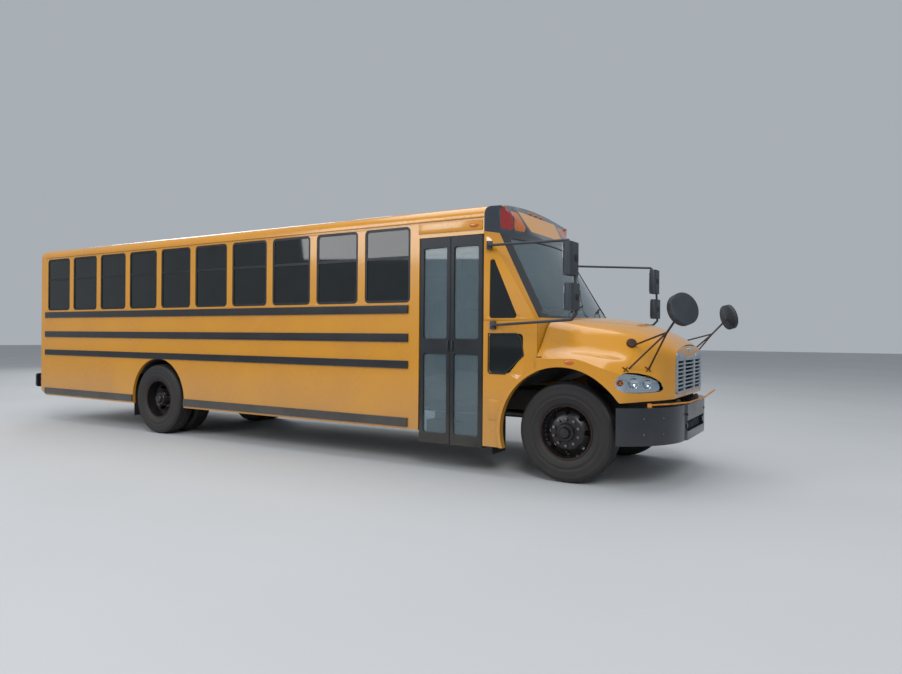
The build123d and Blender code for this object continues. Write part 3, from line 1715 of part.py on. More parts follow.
with BuildPart() as emergency_glass:
    with BuildSketch(Plane.YZ.offset(fwd(body_rear + glass_recess))):
        with Locations((0, rear_pane_z)):
            RectangleRounded(rear_door_pane, rear_pane_height, window_corner)
        with Locations((0, rear_low_pane_z)):
            RectangleRounded(rear_door_pane, rear_low_pane_height, window_corner)
    extrude(amount=glass_thick)
finish(emergency_glass.part, "emergency_glass")

# Roof hatch lids, each on two hinges along its front edge
for name, station in (("hatch_front", hatch_stations[0]), ("hatch_rear", hatch_stations[1])):
    lid_front = fwd(station + hatch_size / 2 + hatch_rim)
    with BuildPart() as lid:
        with BuildSketch(Plane.XY.offset(hatch_seat + running_gap)):
            with Locations((fwd(station), 0)):
                RectangleRounded(hatch_size + 2 * hatch_rim, hatch_size + 2 * hatch_rim, 60)
        extrude(amount=hatch_thick)
        chamfer(lid.faces().sort_by(Axis.Z)[-1].edges(), hatch_thick / 2)
        for middle in (-lid_hinge_y, lid_hinge_y):
            with BuildSketch(Plane.XZ.offset(-middle - hinge_barrel_half)):
                with Locations((lid_front + lid_hinge_reach, hatch_seat + lid_hinge_lift)):
                    Circle(hinge_barrel)
                with Locations((lid_front, hatch_seat + lid_hinge_lift)):
                    Rectangle(2 * lid_hinge_reach, hinge_barrel)
                with Locations((lid_front + lid_hinge_reach, hatch_seat + lid_hinge_lift)):
                    Circle(hinge_bolt + running_gap, mode=Mode.SUBTRACT)
            extrude(amount=2 * hinge_barrel_half)
    finish(lid.part, name)

# Stop arm, folded flat against the left side, on a pin between its bracket's ears
stop_pin = (fwd(stop_hinge - stop_pin_reach), body_half + stop_stand - stop_thick / 2)
with BuildPart() as stop_bracket:
    with BuildSketch(Plane.XY.offset(stop_z - stop_bracket_height / 2)):
        with Locations((fwd(stop_hinge) + stop_stand / 2, body_half + stop_stand / 2)):
            Rectangle(stop_stand, stop_stand)
    extrude(amount=stop_bracket_height)
    for foot in (stop_z - stop_bracket_height / 2, stop_z + stop_neck / 2 + running_gap):
        with BuildSketch(Plane.XY.offset(foot)):
            with Locations(stop_pin):
                Circle(hinge_barrel)
            with Locations((stop_pin[0] + stop_pin_reach, stop_pin[1])):
                Rectangle(2 * stop_pin_reach, 2 * hinge_barrel)
        extrude(amount=(stop_bracket_height - stop_neck) / 2 - running_gap)
    with BuildSketch(Plane.XY.offset(stop_z - stop_bracket_height / 2)):
        with Locations(stop_pin):
            Circle(hinge_bolt)
    extrude(amount=stop_bracket_height)
with BuildPart() as brackets:
    add(hood_hinges.part)
    add(stop_bracket.part)
finish(brackets.part, "brackets")

with BuildPart() as stop_arm:
    with BuildSketch(side_plane(1, body_half + stop_stand - stop_thick, body_half + stop_stand)):
        with Locations((fwd(stop_hinge - stop_reach), stop_z)):
            RegularPolygon(stop_half, 8, major_radius=False, rotation=22.5)
        with Locations((stop_pin[0] - stop_reach / 4, stop_z)):
            Rectangle(stop_reach / 2, stop_neck)
    extrude(amount=-stop_thick)
    with BuildSketch(Plane.XY.offset(stop_z - stop_neck / 2)):
        with Locations(stop_pin):
            Circle(hinge_barrel)
    extrude(amount=stop_neck)
    with BuildSketch(Plane.XY.offset(stop_z - stop_neck / 2)):
        with Locations(stop_pin):
            Circle(hinge_bolt + running_gap)
    extrude(amount=stop_neck, mode=Mode.SUBTRACT)
finish(stop_arm.part, "stop_arm")

# Crossing arm along the top of the front bumper
arm_points = [(fwd(x), y, bumper_head + z) for x, y, z in crossing_route]
arm_rod = bent_rod(arm_points, rod_radius)
with BuildPart() as crossing_arm:
    with BuildSketch(Plane.XY.offset(bumper_head + running_gap)):
        with Locations((fwd(crossing_station), -crossing_y)):
            Circle(crossing_boss)
    extrude(amount=crossing_lift)
    add(arm_rod)
finish(crossing_arm.part, "crossing_arm")

# Rear-view mirrors on tubes that stand out from the cab sides
tube_points = [(fwd(x), -y, z) for x, y, z in tube_route]
mirror_tube = bent_rod(tube_points, tube_radius)
with BuildPart() as side_mirror:
    add(mirror_tube)
    with BuildSketch(side_plane(-1, body_half, body_half + pad_depth)):
        for x, y, z in (tube_route[0], tube_route[-1]):
            with Locations((fwd(x), z)):
                Rectangle(pad_width, pad_height)
    extrude(amount=-pad_depth)
    for station, out, low, high in head_table:
        with BuildSketch(Plane.XY.offset(low)):
            with Locations((fwd(station), -out)):
                RectangleRounded(head_depth, head_width, 40)
        extrude(amount=high - low)
mirror_left = mirrored(side_mirror.part)
with BuildPart() as side_mirrors:
    add(side_mirror.part)
    add(mirror_left)
finish(side_mirrors.part, "side_mirrors")
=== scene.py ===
import json
import math

import bpy
from mathutils import Matrix, Vector


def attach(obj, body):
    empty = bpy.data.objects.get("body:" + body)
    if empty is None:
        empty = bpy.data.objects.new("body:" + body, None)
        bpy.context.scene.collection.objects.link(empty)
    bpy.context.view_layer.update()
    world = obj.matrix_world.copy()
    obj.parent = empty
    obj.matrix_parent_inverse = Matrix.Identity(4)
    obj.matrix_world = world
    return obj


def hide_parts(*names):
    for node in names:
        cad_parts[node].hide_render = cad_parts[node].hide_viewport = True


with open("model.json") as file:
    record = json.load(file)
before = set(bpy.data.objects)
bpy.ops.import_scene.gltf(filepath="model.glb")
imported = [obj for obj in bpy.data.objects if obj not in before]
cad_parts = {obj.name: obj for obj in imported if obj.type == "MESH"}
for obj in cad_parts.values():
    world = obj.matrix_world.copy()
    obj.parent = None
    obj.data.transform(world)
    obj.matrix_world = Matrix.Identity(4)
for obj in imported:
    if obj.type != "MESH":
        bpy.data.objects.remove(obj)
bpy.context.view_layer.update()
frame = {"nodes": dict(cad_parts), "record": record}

# The CAD frame: +X forward, the entrance door at -Y, the ground at Z = 0, metres.
# Stations count from the front axle, positive forward.
FRONT_AXLE = 4.3675
REAR_AXLE = FRONT_AXLE - 6.58
AXLE_Z = 0.530
BODY_HALF = 1.219
SIDES = ((-1, "right"), (1, "left"))

BODY_OF = {node: body for body, nodes in frame["record"]["behaviour"]["bodies"].items() for node in nodes}
SLOT_OF = {part["node"]: part["material_slot"] for part in frame["record"]["subparts"]}


def fwd(station):
    """X of a station."""
    return FRONT_AXLE + station


# Materials

def linear(code):
    """An sRGB hex colour as linear values."""
    steps = [int(code[i:i + 2], 16) / 255 for i in (1, 3, 5)]
    return [v / 12.92 if v <= 0.04045 else ((v + 0.055) / 1.055) ** 2.4 for v in steps] + [1.0]


def add_node(tree, kind, inputs=(), **settings):
    """One node with its settings, and its inputs as values or as (node, output) links."""
    node = tree.nodes.new(kind)
    for key, value in settings.items():
        setattr(node, key, value)
    for socket, value in dict(inputs).items():
        if isinstance(value, tuple) and isinstance(value[0], bpy.types.Node):
            tree.links.new(value[0].outputs[value[1]], node.inputs[socket])
        else:
            node.inputs[socket].default_value = value
    return node


def blended(tree, factor, first, second):
    """Colour between two, by a factor."""
    return add_node(tree, "ShaderNodeMix", {0: factor, 6: first, 7: second}, data_type="RGBA")


def ranged(tree, source, *limits):
    """A value moved from one range to another: low, high, then what they become."""
    return add_node(tree, "ShaderNodeMapRange", {0: source, **dict(enumerate(limits, 1))})


def finished(name, code, worn, patch_mm=400.0, grain_mm=1.5, grain=0.04, dust=0.0, **sockets):
    """A finish in two tones that change in patches, with fine grain in its surface and road dust low down."""
    material = bpy.data.materials.new(name)
    material.use_nodes = True
    tree = material.node_tree
    shader = tree.nodes["Principled BSDF"]
    for key, value in sockets.items():
        shader.inputs[key.replace("_", " ")].default_value = value
    place = add_node(tree, "ShaderNodeTexCoord")
    patches = add_node(tree, "ShaderNodeTexNoise", {0: (place, "Object"), "Scale": 1000 / patch_mm, "Detail": 5.0})
    fine = add_node(tree, "ShaderNodeTexNoise", {0: (place, "Object"), "Scale": 1000 / grain_mm, "Detail": 2.0})
    tone = blended(tree, (ranged(tree, (patches, 0), 0.25, 0.75), 0), linear(code), linear(worn))
    if dust:
        height = add_node(tree, "ShaderNodeSeparateXYZ", {0: (place, "Object")})
        low = ranged(tree, (height, 2), 0.25, 1.1, dust, 0.0)
        film = add_node(tree, "ShaderNodeMath", {0: (low, 0), 1: (patches, 0)}, operation="MULTIPLY")
        tone = blended(tree, (film, 0), (tone, 2), linear("#8A7F70"))
    tree.links.new(tone.outputs[2], shader.inputs["Base Color"])
    rough = sockets["Roughness"]
    gloss = ranged(tree, (patches, 0), 0.0, 1.0, max(0.02, rough * 0.75), min(1.0, rough * 1.3))
    tree.links.new(gloss.outputs[0], shader.inputs["Roughness"])
    relief = add_node(tree, "ShaderNodeBump", {"Strength": grain, "Distance": grain_mm / 1000, "Height": (fine, 0)})
    tree.links.new(relief.outputs[0], shader.inputs["Normal"])
    material.diffuse_color = linear(code)
    return material, tree, shader, place


def zoned(finish, code, low, high, lean=0.0):
    """Another colour between two corners. Their Y counts from the middle of the bus and leans with the height."""
    material, tree, shader, place = finish
    where = add_node(tree, "ShaderNodeSeparateXYZ", {0: (place, "Object")})
    out = add_node(tree, "ShaderNodeMath", {0: (where, 1)}, operation="ABSOLUTE")
    up = add_node(tree, "ShaderNodeMath", {0: (where, 2), 1: low[2]}, operation="SUBTRACT")
    leaning = add_node(tree, "ShaderNodeMath", {0: (up, 0), 1: lean, 2: (out, 0)}, operation="MULTIPLY_ADD")
    inside = None
    for axis, source in enumerate(((where, 0), (leaning, 0), (where, 2))):
        for limit, kind in ((low[axis], "GREATER_THAN"), (high[axis], "LESS_THAN")):
            test = add_node(tree, "ShaderNodeMath", {0: source, 1: limit}, operation=kind)
            if inside:
                test = add_node(tree, "ShaderNodeMath", {0: (inside, 0), 1: (test, 0)}, operation="MULTIPLY")
            inside = test
    before = shader.inputs["Base Color"].links[0].from_node
    layer = blended(tree, (inside, 0), (before, 2), linear(code))
    tree.links.new(layer.outputs[2], shader.inputs["Base Color"])
    return material


YELLOW = ("#C98A0C", "#BD7E0A")
SLATE = ("#262D36", "#313A45")
SHELL_GREY = ("#23282F", "#303740")

MATERIALS = {}
for slot, name, (code, worn), values in (
    # Glossy yellow enamel with a clear skin: soft sky sheen on top, warmer low down where dust settles
    ("paint", "yellow_enamel", YELLOW,
     dict(patch_mm=900, grain=0.02, dust=0.5, Roughness=0.26, Coat_Weight=0.7, Coat_Roughness=0.09)),
    # Glossy black enamel: crisp dark bands along the flanks
    ("black_paint", "black_enamel", ("#0D0D10", "#17171A"),
     dict(patch_mm=500, dust=0.35, Roughness=0.22, Coat_Weight=0.5)),
    # Dark blue-grey gloss: the front roof cap stands off from the yellow and mirrors the sky
    ("cap_paint", "slate_gloss_paint", SLATE, dict(patch_mm=600, Roughness=0.2, Coat_Weight=0.8)),
    # Satin blue-black steel: the bumper's heavy, dull face
    ("bumper", "satin_black_steel", ("#0E131C", "#161D28"),
     dict(patch_mm=250, dust=0.1, Roughness=0.3, Coat_Weight=0.3)),
    # Matt chassis black: browner low down with a film of road dirt
    ("chassis", "chassis_black", ("#121315", "#262421"),
     dict(patch_mm=180, grain=0.2, grain_mm=4, dust=0.8, Roughness=0.7)),
    # Rough painted cast iron
    ("engine", "cast_iron_grey", ("#2A2C2F", "#3B3733"),
     dict(patch_mm=120, grain=0.3, grain_mm=3, Roughness=0.65, Metallic=0.2)),
    # Clear glass with a faint grey-blue tint
    ("glass", "clear_glass", ("#9FB4BC", "#8FA6B0"),
     dict(Roughness=0.02, Transmission_Weight=0.8, IOR=1.45, grain=0.0)),
    # Dark tinted side glass that mirrors the sky
    ("dark_glass", "tinted_glass", ("#20282B", "#161C1E"),
     dict(Roughness=0.03, Transmission_Weight=0.45, IOR=1.5, grain=0.0)),
    # Black anodised sash and door frames
    ("frame_black", "anodised_black", ("#15181C", "#20252B"),
     dict(patch_mm=300, dust=0.3, Roughness=0.38, Metallic=0.4)),
    # Dull black step and floor rubber with a coarse grain
    ("floor_rubber", "floor_rubber", ("#161617", "#222222"), dict(grain=0.3, grain_mm=3, Roughness=0.8)),
    # Dark blue-grey seat vinyl with a fine hide grain
    ("vinyl", "seat_vinyl", ("#1E2630", "#28313C"), dict(patch_mm=200, grain=0.25, grain_mm=2.5, Roughness=0.5)),
    # Bare dull steel
    ("steel", "dull_steel", ("#77787A", "#5A544C"), dict(patch_mm=90, Roughness=0.42, Metallic=0.9)),
    # Tyre rubber, browned by dust on the walls
    ("tyre", "tyre_rubber", ("#0D0E11", "#1A1719"),
     dict(patch_mm=160, grain=0.25, grain_mm=3, dust=0.08, Roughness=0.62)),
    # Dark painted wheel steel with a faint brown bloom
    ("wheel", "wheel_steel", ("#12161C", "#231F22"),
     dict(patch_mm=110, grain=0.1, dust=0.1, Roughness=0.33, Metallic=0.3)),
    # Silver-grey moulding: the grille's bars shine softly against the dark behind them
    ("grille", "silver_plastic", ("#98A1AB", "#87909A"), dict(patch_mm=200, Roughness=0.34, Metallic=0.35)),
    # Clear lamp lens: a bright skin over the bowls
    ("lens", "lamp_lens", ("#F4F8FA", "#EAF0F4"),
     dict(Roughness=0.02, Transmission_Weight=1.0, IOR=1.12, grain=0.0)),
    # Red prismatic lens
    ("warning_lens", "red_lens", ("#A01A16", "#8A1210"),
     dict(patch_mm=60, grain=0.3, grain_mm=6, Roughness=0.12, Coat_Weight=0.6)),
    # Deeper red prismatic lens of the tail lamps
    ("tail_lens", "deep_red_lens", ("#8E1210", "#78100E"),
     dict(patch_mm=60, grain=0.3, grain_mm=6, Roughness=0.12, Coat_Weight=0.6)),
    # Matt dark grey mirror shells, slightly faded
    ("mirror_shell", "mirror_plastic", SHELL_GREY, dict(patch_mm=150, grain=0.15, grain_mm=1.2, Roughness=0.55)),
    # Red reflective sheet
    ("red", "red_sign_sheet", ("#B01216", "#A00E12"), dict(patch_mm=300, Roughness=0.3)),
    # Off-white moulded hatch lids
    ("lid", "white_moulding", ("#CFCEC6", "#BDB9AC"), dict(patch_mm=250, grain=0.12, grain_mm=2, Roughness=0.5)),
    # Faded orange-yellow rod
    ("arm_paint", "orange_rod_paint", ("#D98E1C", "#8F5A1E"), dict(patch_mm=120, Roughness=0.45)),
):
    MATERIALS[slot] = finished(name, code, worn, **values)[0]

# Chrome bowls behind the lenses
chrome = finished("chrome_reflector", "#D5DAE0", "#C2C8CF", grain=0.0, Roughness=0.06, Metallic=1.0)[0]
# Amber prismatic lens
amber = finished("amber_lens", "#C8690E", "#B2570A", patch_mm=60, grain=0.3, grain_mm=6, Roughness=0.14,
                 Coat_Weight=0.6)[0]
# Soft black rubber of seals, latches and wiper blades
rubber = finished("seal_rubber", "#0E0F10", "#1B1B1B", grain=0.15, grain_mm=2, Roughness=0.62)[0]
# Dark red rust of the mirror rods' feet and the rim edges
rusty = finished("rusty_rod", "#26130E", "#4A2A20", patch_mm=60, grain=0.3, grain_mm=2, Roughness=0.6, Metallic=0.3)[0]
# The cab front in body yellow, black round the windscreen as one border
cab_paint = zoned(finished("cab_yellow_enamel", *YELLOW, patch_mm=900, grain=0.02, Roughness=0.24, Coat_Weight=0.7,
                           Coat_Roughness=0.09),
                  "#0C0E11", (fwd(-0.92), -1.0, 1.735), (fwd(0.2), 1.170, 2.70), 0.168)
# Grey mirror shells on rusty tripods: rust below the joint of the rods
tripod_finish = zoned(finished("mirror_on_rusty_tripod", *SHELL_GREY, patch_mm=150, grain=0.15, grain_mm=1.2,
                               Roughness=0.55),
                      "#3A1C14", (4.0, -1.0, 1.0), (7.0, 2.0, 1.600))
# Slate gloss of the roof cap, with the plain yellow face of the sign
cap_finish = zoned(finished("cap_with_plain_sign", *SLATE, patch_mm=600, Roughness=0.2, Coat_Weight=0.8),
                   "#D18C08", (fwd(-0.95), -1.0, 2.765), (fwd(0.0), 0.485, 3.007), -0.29)


# Modelling helpers

def alone(obj):
    """The one selected and active piece."""
    bpy.ops.object.select_all(action="DESELECT")
    obj.select_set(True)
    bpy.context.view_layer.objects.active = obj
    return obj


def begun(name):
    """The form just added, named and settled at the origin."""
    obj = bpy.context.active_object
    obj.name = name
    obj.data.name = name
    bpy.ops.object.transform_apply(location=True, rotation=True, scale=True)
    return obj


def edited(obj, *steps):
    """Mesh steps, each with its settings, on the whole mesh."""
    alone(obj)
    bpy.ops.object.mode_set(mode="EDIT")
    bpy.ops.mesh.select_all(action="SELECT")
    for step, settings in steps:
        step(**settings)
    bpy.ops.object.mode_set(mode="OBJECT")
    return obj


def applied(obj, kind, **settings):
    """One modifier, applied."""
    alone(obj)
    step = obj.modifiers.new("step", kind)
    for key, value in settings.items():
        setattr(step, key, value)
    bpy.ops.object.modifier_apply(modifier=step.name)
    return obj


def smooth(obj, degrees=32):
    """Soft shading, with edges sharper than the angle kept crisp."""
    alone(obj)
    bpy.ops.object.shade_smooth_by_angle(angle=math.radians(degrees))
    return obj


def outward(obj):
    """Corners merged and all faces looking out."""
    return edited(obj, (bpy.ops.mesh.remove_doubles, {"threshold": 0.00005}),
                  (bpy.ops.mesh.normals_make_consistent, {"inside": False}))


def placed(obj, body, slot=None, material=None, nodes=()):
    """Gives the finish, the body that it moves with and the CAD nodes that it stands for."""
    obj.data.materials.clear()
    obj.data.materials.append(material or MATERIALS[slot])
    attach(obj, body)
    if nodes:
        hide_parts(*nodes)
    return obj


def cube(name, low, high):
    """A plain block between two corners, to work on."""
    bpy.ops.object.select_all(action="DESELECT")
    bpy.ops.mesh.primitive_cube_add(size=1, location=[(a + b) / 2 for a, b in zip(low, high)],
                                    scale=[b - a for a, b in zip(low, high)])
    return begun(name)


def block(name, low, high, edge=0.003):
    """A block between two corners with broken edges."""
    return smooth(applied(cube(name, low, high), "BEVEL", width=edge, segments=3))


def side_block(name, side, low, high, edge=0.003):
    """A block on one side of the bus: the Y of its corners is the distance from the middle."""
    outs = sorted((side * low[1], side * high[1]))
    return block(name, (low[0], outs[0], low[2]), (high[0], outs[1], high[2]), edge)


def drum(name, centre, axis, radius, depth, edge=0.002, sides=40):
    """A short cylinder with broken rims."""
    bpy.ops.object.select_all(action="DESELECT")
    bpy.ops.mesh.primitive_cylinder_add(vertices=sides, radius=radius, depth=depth, location=centre,
                                        rotation=Vector(axis).to_track_quat("Z", "Y").to_euler())
    return smooth(applied(begun(name), "BEVEL", width=edge, segments=2, limit_method="ANGLE"))


def ball(name, centre, size):
    """A rounded lamp body, longer along some axes."""
    bpy.ops.object.select_all(action="DESELECT")
    bpy.ops.mesh.primitive_uv_sphere_add(segments=40, ring_count=20, location=centre, scale=size)
    return smooth(begun(name), 60)


def rod(name, points, radius, closed=False):
    """A round bar along points."""
    line = bpy.data.curves.new(name, "CURVE")
    line.dimensions = "3D"
    line.bevel_depth = radius
    line.bevel_resolution = 3
    line.use_fill_caps = True
    run = line.splines.new("POLY")
    run.points.add(len(points) - 1)
    for spot, point in zip(run.points, points):
        spot.co = (*point, 1)
    run.use_cyclic_u = closed
    obj = bpy.data.objects.new(name, line)
    bpy.context.scene.collection.objects.link(obj)
    alone(obj)
    bpy.ops.object.convert(target="MESH")
    return smooth(bpy.context.active_object, 50)


def outline(name, points, fill):
    """A flat ring of corners at the points."""
    bpy.ops.object.select_all(action="DESELECT")
    bpy.ops.mesh.primitive_circle_add(vertices=len(points), radius=1, fill_type=fill)
    obj = begun(name)
    for corner, point in zip(obj.data.vertices, points):
        corner.co = point
    return obj


def turned(name, points, centre, steps=96):
    """A closed outline of (out, radius) points turned about the axle."""
    obj = outline(name, [(0, out, radius) for out, radius in points], "NOTHING")
    edited(obj, (bpy.ops.mesh.spin, dict(steps=steps, angle=2 * math.pi, center=(0, 0, 0), axis=(0, 1, 0))))
    outward(obj)
    obj.location = centre
    bpy.ops.object.transform_apply(location=True, rotation=False, scale=False)
    return smooth(obj, 34)


def prism(name, points, push):
    """A flat outline pushed along a direction."""
    obj = outline(name, points, "NGON")
    edited(obj, (bpy.ops.mesh.extrude_region_move, {"TRANSFORM_OT_translate": {"value": tuple(push)}}))
    return outward(obj)


def joined(name, pieces):
    """Several pieces as one."""
    alone(pieces[0])
    for piece in pieces[1:]:
        piece.select_set(True)
    if len(pieces) > 1:
        bpy.ops.object.join()
    obj = bpy.context.active_object
    obj.name = name
    obj.data.name = name
    return obj


def copied(obj, name, move=(0, 0, 0)):
    """A copy with a mesh of its own, moved."""
    other = obj.copy()
    other.data = obj.data.copy()
    other.name = name
    other.data.name = name
    bpy.context.scene.collection.objects.link(other)
    other.data.transform(Matrix.Translation(move))
    return other


def dropped(*pieces):
    """Cutters and patterns that are no longer needed."""
    for piece in pieces:
        bpy.data.objects.remove(piece)


def met(obj, start, way):
    """Where a line from start meets the piece, and the way that its face looks there."""
    bpy.context.view_layer.update()
    turn_back = obj.matrix_world.inverted()
    hit, spot, facing, _ = obj.ray_cast(turn_back @ Vector(start), turn_back.to_3x3() @ Vector(way))
    if not hit:
        raise ValueError("nothing to sit on: " + obj.name)
    return obj.matrix_world @ spot, facing


def surface(obj, start, way):
    """Where a line from start meets the piece."""
    return met(obj, start, way)[0]


def rounded(points, reach, steps=4):
    """A flat outline with each corner rounded over a reach along both sides."""
    path = []
    for before, corner, after in zip(points[-1:] + points[:-1], points, points[1:] + points[:1]):
        ends = []
        for other in (before, after):
            length = math.dist(corner, other)
            share = min(reach, length * 0.45) / length
            ends.append([c + (o - c) * share for c, o in zip(corner, other)])
        for k in range(steps + 1):
            t = k / steps
            path.append(tuple((1 - t) ** 2 * a + 2 * t * (1 - t) * c + t * t * b
                              for a, c, b in zip(ends[0], corner, ends[1])))
    return path


def cut(obj, cutter, operation="DIFFERENCE"):
    """One form cut by another."""
    return applied(obj, "BOOLEAN", object=cutter, operation=operation, solver="EXACT")


def refined(node, edge=0.0, degrees=32):
    """A copy of a CAD node with its triangles merged, soft shading and edges broken as real ones are."""
    obj = copied(frame["nodes"][node], node + "_piece")
    obj.parent = None
    obj.matrix_world = Matrix.Identity(4)
    obj.data.transform(frame["nodes"][node].matrix_world)
    obj.hide_render = obj.hide_viewport = False
    for key in list(obj.keys()):
        del obj[key]
    outward(obj)
    if edge:
        applied(obj, "DECIMATE", decimate_type="DISSOLVE", angle_limit=math.radians(1.5))
        applied(obj, "BEVEL", width=edge, segments=2, limit_method="ANGLE", angle_limit=math.radians(38))
    smooth(obj, degrees)
    return applied(obj, "WEIGHTED_NORMAL", keep_sharp=True)


# Bonnet: one skin over sections, with its lamps and grille
HOOD_ROWS = [
    # station, crown, shoulder out and up, valley out and up, wing top out and up, side edge out and up
    (-0.268, 1.760, 1.050, 1.712, 1.200, 1.400, 1.228, 1.360, 1.262, 1.300),
    (-0.080, 1.758, 1.010, 1.684, 1.168, 1.390, 1.214, 1.362, 1.262, 1.305),
    (0.120, 1.752, 0.960, 1.650, 1.120, 1.375, 1.190, 1.372, 1.262, 1.310),
    (0.430, 1.715, 0.860, 1.590, 1.030, 1.345, 1.145, 1.325, 1.258, 1.225),
    (0.620, 1.668, 0.785, 1.535, 0.965, 1.330, 1.095, 1.270, 1.185, 1.160),
    (0.784, 1.606, 0.715, 1.478, 0.850, 1.290, 0.930, 1.215, 1.000, 1.110),
    (0.930, 1.530, 0.655, 1.420, 0.735, 1.270, 0.790, 1.190, 0.830, 1.100),
    (1.012, 1.460, 0.612, 1.384, 0.640, 1.270, 0.650, 1.190, 0.660, 1.100),
]
HOOD_REAR = HOOD_ROWS[0][0]
HOOD_FRONT = HOOD_ROWS[-1][0]
HOOD_WALL = 0.022
ARCH_RADIUS = 0.690
ARCH_FRONT = 0.54
FOOT_Z = 0.874
FOOT_RISE = 0.031
# The cab's front is bowed: its middle, how far it falls back at the sides, and where the bonnet's rows are straight
SEAM_MIDDLE = -0.070
SEAM_BOW = 0.204
SEAM_GAP = 0.018
STRAIGHT_FROM = 0.12
HOOD_STEPS = 56
HALF_POINTS = 30
EDGE_POINTS = 6


def between(table, place, column):
    """Smooth value of a column at a station, without overshoot."""
    xs = [row[0] for row in table]
    ys = [row[column] for row in table]
    slopes = [(ys[i + 1] - ys[i]) / (xs[i + 1] - xs[i]) for i in range(len(xs) - 1)]
    tangents = [slopes[0]]
    for a, b in zip(slopes, slopes[1:]):
        tangents.append(0 if a * b <= 0 else 2 * a * b / (a + b))
    tangents.append(slopes[-1])
    i = max(0, min(len(xs) - 2, sum(1 for x in xs[1:-1] if place > x)))
    width = xs[i + 1] - xs[i]
    t = (place - xs[i]) / width
    return ((2 * t ** 3 - 3 * t ** 2 + 1) * ys[i] + (t ** 3 - 2 * t ** 2 + t) * width * tangents[i]
            + (3 * t ** 2 - 2 * t ** 3) * ys[i + 1] + (t ** 3 - t ** 2) * width * tangents[i + 1])


def seam(out, ahead=0.0):
    """Station of the cab's bowed front at a distance from the middle."""
    return SEAM_MIDDLE - SEAM_BOW * (out / BODY_HALF) ** 2 + ahead


def hood_foot(station):
    """Height of the lower edge: the wheel arch, then the run under the lamp and the grille."""
    arch = AXLE_Z + math.sqrt(max(0.0, ARCH_RADIUS ** 2 - station ** 2))
    return max(arch, FOOT_Z + (max(station, ARCH_FRONT) - ARCH_FRONT) * FOOT_RISE / (HOOD_FRONT - ARCH_FRONT))


def half_profile(station):
    """Points from the crown down to the lower edge, evenly spread, with the shoulder and the wing rounded."""
    crown, out1, up1, out2, up2, out3, up3, out4, up4 = [between(HOOD_ROWS, station, c) for c in range(1, 10)]
    corners = [(0, crown), (out1 * 0.35, crown - (crown - up1) * 0.10), (out1 * 0.7, crown - (crown - up1) * 0.44),
               (out1, up1), (out1 * 0.45 + out2 * 0.55, up1 * 0.42 + up2 * 0.58),
               (out2, up2), (out3, up3), (out4, up4)]
    for _ in range(3):
        finer = [corners[0]]
        for (ya, za), (yb, zb) in zip(corners, corners[1:]):
            finer += [(0.75 * ya + 0.25 * yb, 0.75 * za + 0.25 * zb), (0.25 * ya + 0.75 * yb, 0.25 * za + 0.75 * zb)]
        corners = finer + [corners[-1]]
    corners[0] = (0, corners[1][1] + 0.0005)
    lengths = [0.0]
    for start, end in zip(corners, corners[1:]):
        lengths.append(lengths[-1] + math.dist(start, end))
    points = []
    for k in range(HALF_POINTS):
        goal = lengths[-1] * k / (HALF_POINTS - 1)
        i = max(0, min(len(corners) - 2, sum(1 for v in lengths[1:-1] if goal > v)))
        t = (goal - lengths[i]) / max(1e-9, lengths[i + 1] - lengths[i])
        points.append(tuple(a + (b - a) * t for a, b in zip(corners[i], corners[i + 1])))
    edge_out, edge_up = points[-1]
    foot = min(hood_foot(station), edge_up - 0.01)
    for k in range(1, EDGE_POINTS + 1):
        points.append((edge_out, edge_up + (foot - edge_up) * k / EDGE_POINTS))
    return points


def hood_shell(name):
    """The bonnet's skin: a grid laid over the sections, given its wall inward."""
    across = 2 * (HALF_POINTS + EDGE_POINTS) - 1
    bpy.ops.object.select_all(action="DESELECT")
    bpy.ops.mesh.primitive_grid_add(x_subdivisions=HOOD_STEPS, y_subdivisions=across - 1, size=2)
    obj = begun(name)
    for row in range(HOOD_STEPS + 1):
        station = HOOD_REAR + (HOOD_FRONT - HOOD_REAR) * row / HOOD_STEPS
        half = half_profile(station)
        line = [(-y, z) for y, z in reversed(half[1:])] + half
        for column, (y, z) in enumerate(line):
            ahead = station
            if station <= STRAIGHT_FROM:
                rear = seam(y, SEAM_GAP)
                ahead = rear + (station - HOOD_REAR) / (STRAIGHT_FROM - HOOD_REAR) * (STRAIGHT_FROM - rear)
            obj.data.vertices[column * (HOOD_STEPS + 1) + row].co = (fwd(ahead), y, z)
    outward(obj)
    if sum(p.normal.z * p.area for p in obj.data.polygons) < 0:
        edited(obj, (bpy.ops.mesh.flip_normals, {}))
    return applied(obj, "SOLIDIFY", thickness=HOOD_WALL, offset=-1)


hood = hood_shell("hood_piece")

# The front face under the crown, round the grille
FACE_HALF = [(0.66, 0.905), (0.66, 1.10), (0.650, 1.19), (0.640, 1.27), (0.612, 1.372), (0.50, 1.415), (0.30, 1.440)]
GRILLE_EDGE = rounded([(-0.60, 0.949), (0.60, 0.949), (0.620, 1.374), (0.34, 1.374), (0.30, 1.329), (-0.30, 1.329),
                       (-0.34, 1.374), (-0.620, 1.374)], 0.034)
face_edge = FACE_HALF + [(0, 1.448)] + [(-y, z) for y, z in reversed(FACE_HALF)]
face = prism("hood_face", [(fwd(HOOD_FRONT), y, z) for y, z in face_edge], (-HOOD_WALL, 0, 0))
opening = prism("grille_opening", [(fwd(0.90), y, z) for y, z in GRILLE_EDGE], (0.30, 0, 0))
cut(face, opening)
cut(hood, opening)

